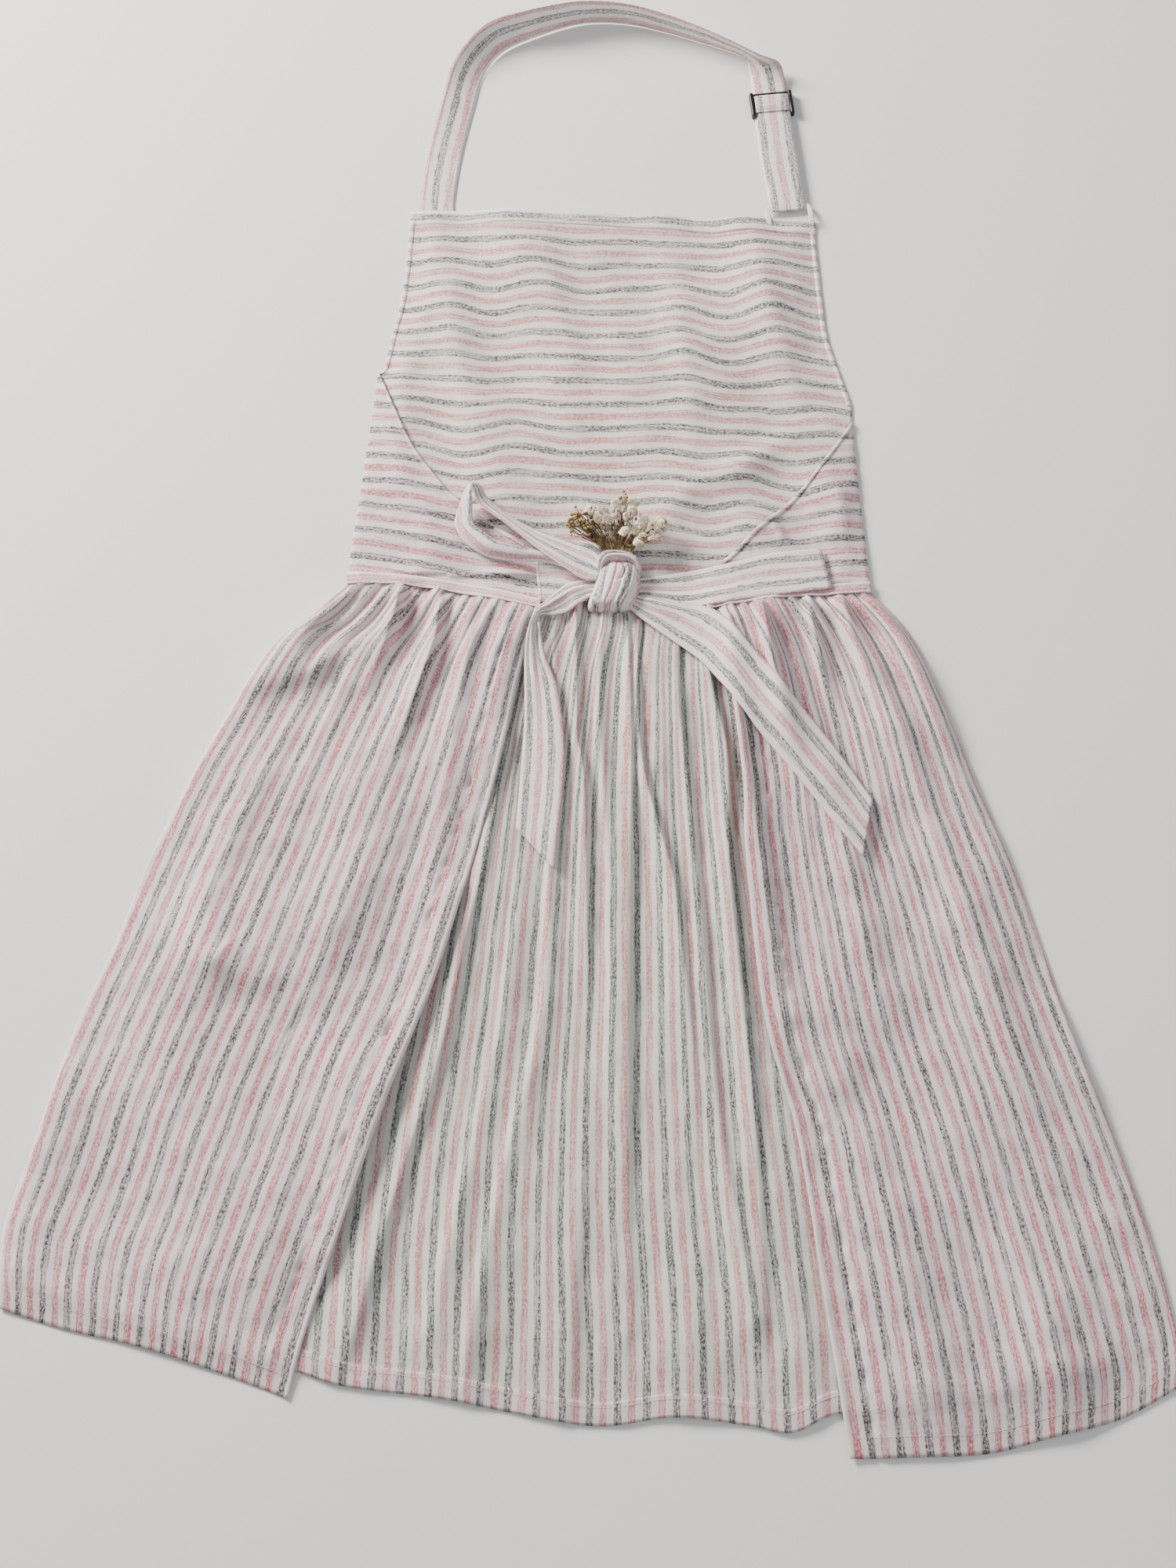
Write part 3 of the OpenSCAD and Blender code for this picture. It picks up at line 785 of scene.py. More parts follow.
@dataclass
class FrontSkirt:
    """The gathered front skirt, seen from its inside, with its turned hem and waist seam."""

    flat_width: float = 800.0
    pleats: int = 30
    hem_depth: float = 14.0
    waist: Points = field(default_factory=lambda: [(-161, 51), (-60, 49.5), (60, 47), (193, 45)])
    hem: Points = field(default_factory=lambda: [
        (-350, -418), (-300, -436), (-250, -452), (-200, -464), (-171, -471), (-144, -479), (-87, -486),
        (-50, -493), (7, -502), (54, -497), (100, -502), (124, -506), (152, -495), (200, -492), (250, -484),
        (300, -472), (350, -455)])
    left_side: Points = field(default_factory=lambda: [
        (-161, 51), (-184, 26), (-212, 3), (-248, -63), (-280, -137), (-301, -200), (-326, -267),
        (-343, -337),
        (-350, -418)])
    right_side: Points = field(default_factory=lambda: [
        (193, 45), (219, 14), (238, -32), (258, -93), (282, -163), (302, -237), (328, -327), (345, -395),
        (350, -455)])
    folds: tuple[Fold, ...] = (
        Fold([(28.5, 36), (30.4, -94), (28.7, -201), (26.3, -352), (26.7, -447)], (3, 4.2, 3.6, 2.4, 1),
             (7, 9, 11, 15, 18), 0.22, 1.2),
        Fold([(38, 36), (35, -10), (37, -74), (47, -121), (58, -164), (66, -252), (70, -330)],
             (2, 3.4, 4, 3.6, 3, 2, 0.5), (4, 5, 6, 7, 9, 12, 14), 0.25, 1.0),
        Fold([(84, 30), (82.4, -12), (92.9, -64), (94.2, -98), (94, -160), (105, -304), (109, -438)],
             (2, 3, 4.5, 4.5, 4, 2.6, 1.5), (5, 6, 7, 8, 10, 14, 16), 0.25, 1.3),
        Fold([(64, 36), (62, -30), (68, -100), (76, -204), (82, -303), (96, -400), (103, -438)],
             (2, 3, 3, 3.4, 3.2, 2.6, 2), (4, 5, 6, 8, 10, 12, 14), 0.35, 1.0),
        Fold([(12.6, 36), (8.3, -39), (14.7, -148), (16.7, -303)], (2.5, 3, 2.4, 1), (5, 6, 9, 14), 1.2,
             0.3),
        Fold([(-6, 36), (-5, -26), (-5, -63), (0, -99), (2, -252)], (2.5, 3.4, 3.4, 3, 1), (4, 5, 6, 7, 12),
             0.25, 1.1),
        Fold([(-21.5, 20), (-21.5, -39), (-23.5, -148), (-27.8, -253), (-51, -352), (-73, -470)],
             (2, 3.2, 3.4, 3, 2.6, 2), (5, 6, 8, 10, 12, 14), 1.1, 0.3),
        Fold([(-52, -60), (-64, -140), (-77, -201), (-92, -278), (-114, -352), (-144, -462)],
             (1.5, 2.5, 3.6, 4, 3.8, 3), (5, 6, 8, 9, 10, 12), 0.4, 1.2),
        Fold([(-40, -120), (-48, -220), (-66, -320), (-96, -450)], (0.5, 2.4, 2.6, 1.6), (8, 10, 12, 14),
             1.0, 0.4),
        Fold([(-60, -380), (-66, -430), (-70, -480)], (0.5, 1.5, 2.4), (14, 16, 16)),
        Fold([(0, -300), (-6, -400), (-10, -490)], (0.5, 2.2, 2.6), (12, 14, 14), 0.5, 1.2),
        Fold([(60, -400), (62, -450), (64, -500)], (0.5, 2.0, 3), (12, 14, 16)),
        Fold([(130, -420), (136, -460), (140, -500)], (0.5, 2.0, 2.6), (10, 12, 12)),
    )

    def build(self, shop: Shop) -> None:
        """Lays the skirt, its hem and its waist seam."""
        rows, cols = 190, 420
        plan = patch(curve(self.waist, cols), curve(self.hem, cols), curve(self.left_side, rows),
                     curve(self.right_side, rows))
        gathers = Gathers("front_gathers", self.pleats, self.flat_width, 4.6, 95.0)
        lift, across = gathers.apply(plan)
        for fold in self.folds:
            lift = lift + 1.5 * fold.lift(plan)
        x, y = plan[..., 0], plan[..., 1]
        lift = lift + 1.6 + 1.3 * waves(x, y * 0.25, 52, "front_soft")
        lift = lift + 0.4 * waves(x, y * 0.6, 22, "front_crumple")
        s = np.linspace(0, 1, cols)[None]
        edge = ease(0, 0.02, s) * ease(0, 0.02, 1 - s)
        lift = np.maximum(lift, 0.1) * edge
        # Under the wraps the front lies pressed flat
        covered = np.maximum(ease(-20, -70, x - np.interp(y, [-486, -221, -15, 60], [-178, -93, -43, -30])),
                             ease(20, 70, x - np.interp(y, [-521, -252, -26, 60], [158, 114, 92, 82])))
        down = lengths(plan)
        lift = lift * (1 - 0.8 * covered) * (0.4 + 0.6 * ease(2, 45, down[-1] - down))
        points = laid(shop.bed, plan, lift, SINGLE, 0)
        along = lengths(plan)
        cloth = Cloth(points, np.stack([across - 5.0, along], -1), SINGLE)
        skirt = shop.piece("front_skirt_cloth", cloth, shop.bench.thin, ["front_skirt"], "skirt_cloth")
        threads = [self.turned_hem(shop, points, along, across - 5.0), self.waist_tape(shop)]

    def turned_hem(self, shop: Shop, points: Array, along: Array, across: Array) -> bpy.types.Object:
        """Turns the hem up on the inside and stitches it near the fold's upper edge.

        Args:
            shop: The workshop.
            points: The skirt's own grid.
            along: Distance down the skirt of each point.
            across: Place across the stripes of each point.

        Returns:
            The row of stitches.
        """
        rows, columns = np.linspace(-self.hem_depth, -0.4, 9), np.arange(points.shape[1])
        band = np.stack([np.stack([np.interp(along[-1, c] + rows, along[:, c], points[:, c, k])
                                   for c in columns], 1)
                         for k in range(3)], -1)
        round_top = np.sin(np.pi * np.linspace(0, 1, 9))[:, None]
        puff = round_top * (0.6 + 0.4 * waves(band[..., 0], band[..., 1] * 0, 30, "hem"))
        band[..., 2] += 0.62 + 0.5 * puff
        uv = np.stack(np.broadcast_arrays(across[-1][None], (along[-1].mean() - rows)[:, None]), -1)
        # The whole hem fold is marked turned at 0.8, so the cloth is painted darker here: painted shade of
        # the doubled hem
        cloth = Cloth(band, uv, SINGLE, turned=np.full(band.shape[:2], 0.8))
        hem = shop.piece("front_hem_fold", cloth, shop.bench.double, ["front_hem"], "hem_cloth")
        return shop.seam_row("front_hem_stitches", band[2, ::6, :2])

    def waist_tape(self, shop: Shop) -> bpy.types.Object:
        """Lays the turned waist seam over the gathers and returns its stitches."""
        plan, uv = ribbon([(-162, 58), (0, 55.5), (194, 52)], [(-162, 50), (0, 47.5), (194, 44)], 150, 7,
                          -2.5, 8)
        pucker = 0.3 + 0.12 * waves(plan[..., 0], plan[..., 1], 12, "waist_pucker")
        grid = stiffened(laid(shop.bed, plan, pucker, SINGLE, 3), 12)
        cloth = Cloth(grid, uv, SINGLE)
        band = shop.piece("front_waist_seam_tape", cloth, shop.bench.double, ["front_waist_seam"],
                          "seam_cloth")
        return shop.seam_row("front_waist_stitches", grid[::6, 3, :2])


@dataclass
class Bib:
    """The bib, seen from its inside, with its turned top hem and its rolled side edges."""

    rolled: float = 3.4
    top: Points = field(default_factory=lambda: [(-127, 348.5), (-60, 348), (20, 346), (100, 342),
                                                 (167, 340.5)])
    waist: Points = field(default_factory=lambda: [(-162, 58), (-60, 56.5), (60, 54.5), (194, 52)])
    left_side: Points = field(default_factory=lambda: [
        (-127, 348.5), (-127, 329), (-131, 277), (-136, 251), (-142, 220), (-146, 214), (-151, 163),
        (-156, 115),
        (-160, 79), (-162, 58)])
    right_side: Points = field(default_factory=lambda: [
        (167, 340.5), (166, 329), (170, 264), (173, 239), (182, 207), (187, 189), (187, 176), (189, 127),
        (192, 85),
        (194, 52)])
    folds: tuple[Fold, ...] = (
        Fold([(-30, 330), (-22, 280), (-10, 230), (-6, 170)], (0.5, 1.6, 2.0, 0.4), (16, 18, 20, 24)),
        Fold([(60, 320), (66, 250), (74, 180), (70, 110)], (0.3, 1.6, 2.2, 0.6), (18, 16, 18, 22)),
        Fold([(-100, 300), (-92, 240), (-80, 180), (-60, 120)], (0.3, 1.6, 1.6, 0.3), (14, 16, 20, 24)),
        Fold([(120, 330), (128, 280), (140, 230), (150, 190)], (0.4, 1.6, 1.4, 0.4), (14, 14, 14, 12)),
        Fold([(-110, 200), (-60, 180), (-10, 120), (20, 90)], (0.4, 1.3, 1.3, 0.5), (14, 16, 16, 14)),
        Fold([(150, 170), (110, 140), (70, 120), (40, 90)], (0.4, 1.6, 1.5, 0.5), (10, 12, 14, 14)),
    )

    def across(self, xy: Array) -> Array:
        """Place across the stripes, which run from side to side and drift a little."""
        x, y = xy[..., 0], xy[..., 1]
        level = BIB_TOP - 0.0245 * (x + 127) - y
        sag = 2.4 * waves(x, y * 0.3, 130, "bib_drift", 4) + 2.3 * waves(x, y * 0.3, 58, "bib_ripple", 4)
        return level + sag * ease(0, 60, level) - 5.5

    def build(self, shop: Shop) -> None:
        """Lays the bib, its rolled edges and its top hem."""
        rows, cols = 150, 150
        plan = patch(curve(self.top, cols), curve(self.waist, cols), curve(self.left_side, rows),
                     curve(self.right_side, rows))
        x, y = plan[..., 0], plan[..., 1]
        lift = 3.0 + 2.4 * waves(x, y * 0.5, 72, "bib_soft") + 0.6 * waves(x, y * 0.7, 26, "bib_crumple")
        for fold in self.folds:
            lift = lift + 2.8 * fold.lift(plan)
        s = np.linspace(0, 1, cols)[None]
        lift = np.maximum(lift, 0) * ease(0, 0.07, s) * ease(0, 0.07, 1 - s) + 0.1
        points = laid(shop.bed, plan, lift, SINGLE, 2)
        cloth = Cloth(points, np.stack([self.across(plan), x], -1), SINGLE)
        bib = shop.piece("bib_cloth", cloth, shop.bench.single, ["bib"], "bodice_cloth")
        self.top_hem(shop)
        edges = [self.rolled_edge(shop, "bib_left_edge", self.left_side[:6], 1),
                 self.rolled_edge(shop, "bib_right_edge", self.right_side[:6], -1)]

    def top_hem(self, shop: Shop) -> None:
        """Turns the top edge over to the inside and stitches it down."""
        a, b = np.array(self.top), np.array(self.top) - [0, 12.0]
        a[0, 0] += 0.5
        a[-1, 0] -= 0.5
        plan, _ = ribbon(a.tolist(), b.tolist(), 150, 9, 0, 12)
        s = np.linspace(0, 1, 9)[None]
        pucker = 0.25 * np.sin(np.pi * s) * (1 + 0.6 * waves(plan[..., 0], plan[..., 1], 20, "top_hem"))
        pucker = pucker - 0.45 * ease(0.7, 1, s)
        grid = laid(shop.bed, plan, pucker, 0.3, 0)
        cloth = Cloth(grid, np.stack([self.across(plan), plan[..., 0]], -1), 0.3)
        hem = shop.piece("bib_top_hem_fold", cloth, shop.bench.double, ["bib_top_hem"], "bodice_cloth")
        shop.seam_row("bib_top_hem_stitches", plan[::6, 7], radius=0.13)

    def rolled_edge(self, shop: Shop, node: str, side: Points, inward: int) -> bpy.types.Object:
        """Rolls a narrow hem down one side of the bib."""
        line = curve(side, 90)[6:]
        s = np.linspace(0, 1, 7)[None]
        plan = line[:, None] + np.array([inward, 0.0]) * (s[..., None] * self.rolled)
        lift = 0.4 * np.sin(np.pi * s) * (1 + 0.2 * waves(plan[..., 0], plan[..., 1], 17, node))
        lift = lift - 0.4 * ease(0.6, 1, s)
        grid = laid(shop.bed, plan, lift, 0.3, 0)
        cloth = Cloth(grid, np.stack([self.across(plan), plan[..., 0]], -1), 0.3)
        edge = shop.piece(node + "_roll", cloth, shop.bench.double, [node], "bodice_cloth")
        return edge


class Side(Enum):
    """Which side of the apron a wing or a wrap skirt is on."""

    LEFT = "left"
    RIGHT = "right"


@dataclass
class Wing:
    """A bodice wing, folded round from the bib's side to the back."""

    side: Side
    diagonal: Points
    fold: Points
    seam: Points
    inner: Points
    tilt: float
    folds: tuple[Fold, ...] = ()

    def across(self, xy: Array) -> Array:
        """Place across the stripes, which run on from the bib round the fold and then tilt."""
        x, y = xy[..., 0], xy[..., 1]
        line = np.array(sorted(self.fold, key=lambda p: p[1]), float)
        fold_x = np.interp(y, line[:, 1], line[:, 0])
        tilt = math.radians(self.tilt)
        level = BIB_TOP - 0.0245 * (fold_x + 127) - (y + math.tan(tilt) * np.abs(x - fold_x))
        drift = 1.2 * waves(x, y, 90, self.side.value + "_wing_drift")
        return level * math.cos(tilt) + drift - 5.5

    def build(self, shop: Shop) -> None:
        """Lays the wing and its rolled diagonal edge."""
        side = self.side.value
        rows, cols = 110, 110
        left, right = (self.fold, self.inner) if self.side is Side.LEFT else (self.inner, self.fold)
        plan = patch(curve(self.diagonal, cols), curve(self.seam, cols), curve(left, rows),
                     curve(right, rows))
        x, y = plan[..., 0], plan[..., 1]
        s = np.linspace(0, 1, cols)[None]
        from_fold = s if self.side is Side.LEFT else 1 - s
        round_fold = np.sqrt(np.clip(1 - (1 - np.clip(from_fold * 140 / 5, 0, 1)) ** 2, 0, 1))
        lift = 1.2 + 0.9 * waves(x, y, 55, side + "_wing_soft")
        lift = lift + 0.35 * waves(x, y, 20, side + "_wing_crumple")
        for fold in self.folds:
            lift = lift + 1.5 * fold.lift(plan)
        points = laid(shop.bed, plan, np.maximum(lift, 0.1), SINGLE, 5)
        points[..., 2] = 1.1 + (points[..., 2] - 1.1) * round_fold
        cloth = Cloth(points, np.stack([self.across(plan), x], -1), SINGLE)
        wing = shop.piece(side + "_wing_cloth", cloth, shop.bench.wrap, [side + "_wing"], "bodice_cloth")
        line = curve(self.diagonal, 120)
        s = np.linspace(0, 1, 7)[None]
        inward = np.array([0, -1.0])
        plan = line[2:, None] + inward * (s[..., None] * 3.4)
        roll = laid(shop.bed, plan,
                    0.3 * np.sin(np.pi * s)
                    * (1 + 0.2 * waves(plan[..., 0], plan[..., 1], 17, side + "roll")),
                    SINGLE, 2)
        roll_cloth = Cloth(roll, np.stack([self.across(plan), plan[..., 0]], -1), SINGLE)
        edge = shop.piece(side + "_wing_edge_roll", roll_cloth, shop.bench.double, [side + "_wing_edge"],
                          "bodice_cloth")


@dataclass
class WrapSkirt:
    """A gathered wrap skirt that folds over the front skirt, its front edge and hem turned under."""

    side: Side
    seam: Points
    hem: Points
    outer: Points
    inner: Points
    flat_width: float
    pleats: int
    folds: tuple[Fold, ...] = ()
    facing: float = 16.0
    band: float = 14.0

    def build(self, shop: Shop) -> None:
        """Lays the wrap skirt, its turned edges and the stitches along them."""
        side = self.side.value
        rows, cols = 190, 190
        left, right = (self.outer, self.inner) if self.side is Side.LEFT else (self.inner, self.outer)
        plan = patch(curve(self.seam, cols), curve(self.hem, cols), curve(left, rows), curve(right, rows))
        x, y = plan[..., 0], plan[..., 1]
        gathers = Gathers(side + "_gathers", self.pleats, self.flat_width, 5.0, 95.0)
        lift, across = gathers.apply(plan)
        for fold in self.folds:
            lift = lift + 1.9 * fold.lift(plan)
        lift = lift + 2.2 + 2.0 * waves(x, y * 0.6, 85, side + "_soft")
        lift = lift + 0.5 * waves(x, y, 30, side + "_crumple")
        s = np.linspace(0, 1, cols)[None]
        from_fold = s if self.side is Side.LEFT else 1 - s
        width = lengths(np.swapaxes(plan, 0, 1))[-1][:, None]
        round_fold = np.sqrt(np.clip(1 - (1 - np.clip(from_fold * width / 5, 0, 1)) ** 2, 0, 1))
        # The front edge is turned under and stitched, which puckers it
        inner = (1 - from_fold) * width
        drawn = waves(y, x * 0, 13, side + "_pucker") - 0.7
        pucker = np.exp(-((inner - self.facing) / 2.2) ** 2) * drawn * 1.5
        down = lengths(plan)
        up_from_hem = down[-1] - down
        pucker = pucker + np.exp(-((up_from_hem - self.band) / 1.6) ** 2) * -0.5
        lift = lift * (0.35 + 0.65 * ease(2, 45, up_from_hem))
        lift = np.maximum(lift + pucker * ease(10, 60, down), 0.1)
        lift = lift + 1.1 * np.exp(-((inner / 3.5) ** 2)) * ease(0, 1.2, inner)
        points = laid(shop.bed, plan, lift, SINGLE, 6)
        points[..., 2] = 1.1 + (points[..., 2] - 1.1) * round_fold
        # rim marks the turned hem band, and the facing at 0.45, where the cloth is painted darker: painted
        # shade of the turned layer beneath showing through
        rim = np.maximum(1 - ease(self.band - 0.6, self.band + 0.6, up_from_hem),
                         0.45 * (1 - ease(self.facing - 0.8, self.facing + 0.8, inner)))
        cloth = Cloth(points, np.stack([across + 3.0, down], -1), SINGLE, turned=rim)
        skirt = shop.piece(side + "_skirt_cloth", cloth, shop.bench.wrap, [side + "_skirt"], "skirt_cloth")
        self.turned_edges(shop, cloth, inner, up_from_hem)
        sewn = (("facing", self.facing, inner, plan),
                ("hem", self.band, up_from_hem.T, np.swapaxes(plan, 0, 1)))
        for name, depth, distance, lines in sewn:
            line = []
            for far, where in zip(distance[6:-6:5], lines[6:-6:5]):
                order = np.argsort(far)
                line.append([np.interp(depth - 2.0, far[order], where[order, k]) for k in range(2)])
            shop.seam_row(f"{side}_{name}_stitches", np.array(line))

    def turned_edges(self, shop: Shop, cloth: Cloth, inner: Array, up: Array) -> None:
        """Adds the folded-under facing and hem, just below the wrap's own cloth."""
        side = self.side.value
        p = cloth.points
        for name, node, depth, far, grid, place in (
                ("facing_fold", "facing", self.facing, inner, p, cloth.uv[..., 1]),
                ("hem_fold", "hem", self.band, up.T, np.swapaxes(p, 0, 1), cloth.uv[..., 0].T)):
            steps = np.linspace(0.3, depth, 9)
            strip, along = [], []
            for distance, line, where in zip(far[3:-8:2], grid[3:-8:2], place[3:-8:2]):
                order = np.argsort(distance)
                places = [np.interp(steps, distance[order], line[order, k]) for k in range(3)]
                strip.append(np.stack(places, -1))
                along.append(where[order[0]])
            points = np.array(strip) - (0, 0, 0.62)
            uv = np.stack(np.broadcast_arrays(steps[None], lengths(points[:, 0])[:, None]), -1)
            under = Cloth(points, uv, 0.4)
            piece = shop.piece(f"{side}_{name}", under, shop.bench.single, [f"{side}_{node}"], "hem_cloth",
                               lay=False)


@dataclass
class WaistSeam:
    """The bodice's lower edge, turned under and topstitched over a wrap's gathers."""

    side: Side
    line: Points
    depth: float = 8.0

    def build(self, shop: Shop) -> None:
        """Lays the seam's band and its stitches."""
        side = self.side.value
        line = curve(self.line, 110)
        s = np.linspace(0, 1, 9)[None]
        plan = line[:, None] + np.array([0, -1.0]) * (s[..., None] * self.depth)
        pucker = 0.22 * waves(plan[..., 0], plan[..., 1] * 0.3, 14, side + "_seam_pucker") * ease(0.2, 1, s)
        grid = stiffened(laid(shop.bed, plan, 0.4 + pucker, SINGLE, 6), 16)
        cloth = Cloth(grid, np.stack(np.broadcast_arrays(s * self.depth + 5.0, plan[..., 0]), -1), SINGLE)
        band = shop.piece(side + "_waist_seam_band", cloth, shop.bench.double, [side + "_waist_seam"],
                          "seam_cloth")
        threads = [shop.seam_row(side + "_waist_stitches", plan[::6, 5])]


LEFT_WING = Wing(
    Side.LEFT,
    diagonal=[(-146, 216), (-124, 163), (-107, 136), (-90, 115), (-60, 91), (-26, 70)],
    fold=[(-146, 216), (-151, 163), (-156, 115), (-160, 79), (-162, 57)],
    seam=[(-162, 57), (-132, 56), (-100, 52), (-62, 44), (-30, 36)],
    inner=[(-26, 70), (-28, 54), (-30, 36)], tilt=11.0,
    folds=(Fold([(-140, 150), (-120, 120), (-96, 96)], (0.4, 1.6, 0.4), (12, 12, 12)),
           Fold([(-150, 90), (-110, 84), (-70, 66)], (0.3, 1.3, 0.4), (9, 10, 10))))

RIGHT_WING = Wing(
    Side.RIGHT,
    diagonal=[(82, 58), (99, 71), (118, 91), (143, 115), (166, 145), (187, 176)],
    fold=[(187, 176), (189, 127), (192, 85), (194, 51)],
    seam=[(82, 36), (135, 45), (167, 48), (194, 51)],
    inner=[(82, 58), (82, 47), (82, 36)], tilt=7.0,
    folds=(Fold([(128, 96), (134, 86), (142, 78)], (0.5, 2.2, 0.8), (4, 4, 5)),
           Fold([(182, 140), (176, 100), (180, 70)], (0.3, 1.5, 0.6), (8, 9, 9))))

LEFT_WRAP = WrapSkirt(
    Side.LEFT,
    seam=[(-162, 52), (-132, 51), (-100, 47), (-62, 39), (-30, 31)],
    hem=[(-356, -433), (-317, -445), (-268, -456), (-220, -471), (-178, -486)],
    outer=[(-162, 52), (-184, 26), (-212, 3), (-248, -63), (-280, -137), (-301, -200), (-326, -267),
           (-345, -337),
           (-358, -385), (-356, -433)],
    inner=[(-30, 31), (-43, -15), (-55, -76), (-70, -137), (-93, -221), (-121, -298), (-148, -381),
           (-169, -447),
           (-178, -486)],
    flat_width=232.0, pleats=13,
    folds=(
        Fold([(-124, 46), (-128, 20), (-140, -10), (-150, -36)], (4, 6, 3, 0.5), (4, 5, 7, 9), 0.7, 1.3),
        Fold([(-98, 44), (-100, 10), (-112, -30), (-130, -80)], (3, 5, 4, 0.5), (4, 5, 6, 9), 0.8, 1.4),
        Fold([(-172, 36), (-190, 6), (-210, -20)], (2, 4, 1), (7, 9, 12)),
        Fold([(-150, 10), (-180, -14), (-222, -28)], (1, 3.5, 2), (8, 12, 14), 0.7, 1.5),
        Fold([(-76, 10), (-84, -40), (-96, -120), (-104, -180)], (2, 3, 2.5, 1), (6, 8, 12, 14)),
        Fold([(-130, -120), (-150, -170), (-176, -230)], (1, 3.5, 2), (16, 20, 24), 0.8, 1.4),
        Fold([(-250, -190), (-236, -216), (-206, -226)], (1, 5, 1.5), (14, 17, 18), 1.2, 0.8),
        Fold([(-290, -300), (-250, -340), (-200, -360)], (1, 3, 1.5), (20, 24, 24)),
        Fold([(-200, -60), (-230, -130), (-262, -220)], (1, 2.5, 1), (16, 20, 20)),
        Fold([(-86, -170), (-106, -240), (-130, -310), (-158, -400)], (2, 3, 2.5, 1.5), (9, 10, 10, 12)),
    ))

RIGHT_WRAP = WrapSkirt(
    Side.RIGHT,
    seam=[(82, 31), (135, 40), (167, 43), (194, 46)],
    hem=[(158, -521), (193, -520), (240, -518), (278, -509), (321, -498), (357, -480)],
    outer=[(194, 46), (219, 14), (238, -32), (258, -93), (282, -163), (302, -237), (330, -327), (349, -395),
           (359, -452), (357, -480)],
    inner=[(82, 31), (95, -20), (103, -93), (104, -147), (114, -252), (132, -327), (145, -424), (152, -475),
           (158, -521)],
    flat_width=236.0, pleats=14,
    folds=(
        Fold([(118, 30), (122, 0), (130, -40), (140, -90)], (4, 6, 4, 1), (4, 4.5, 6, 10), 1.3, 0.8),
        Fold([(150, 34), (154, 4), (164, -40)], (4, 5, 1), (4, 5, 8), 1.3, 0.8),
        Fold([(172, 36), (180, 6), (196, -40), (214, -90)], (4, 5, 3, 0.5), (4, 6, 9, 12), 1.3, 0.8),
        Fold([(96, 20), (104, -60), (112, -140), (126, -250)], (3, 4, 4, 2), (5, 7, 9, 12), 0.8, 1.4),
        Fold([(150, -60), (170, -150), (190, -260)], (1, 3, 1), (14, 18, 22)),
        Fold([(210, -60), (236, -150), (262, -250), (290, -350)], (1, 2.5, 3, 1), (14, 16, 20, 22)),
        Fold([(300, -210), (316, -250), (330, -300)], (0.5, 3.5, 1), (8, 10, 12)),
        Fold([(180, -330), (200, -420), (214, -500)], (1, 3, 3), (18, 22, 24)),
        Fold([(262, -390), (280, -450), (292, -500)], (0.5, 2.5, 3.5), (16, 18, 20)),
    ))


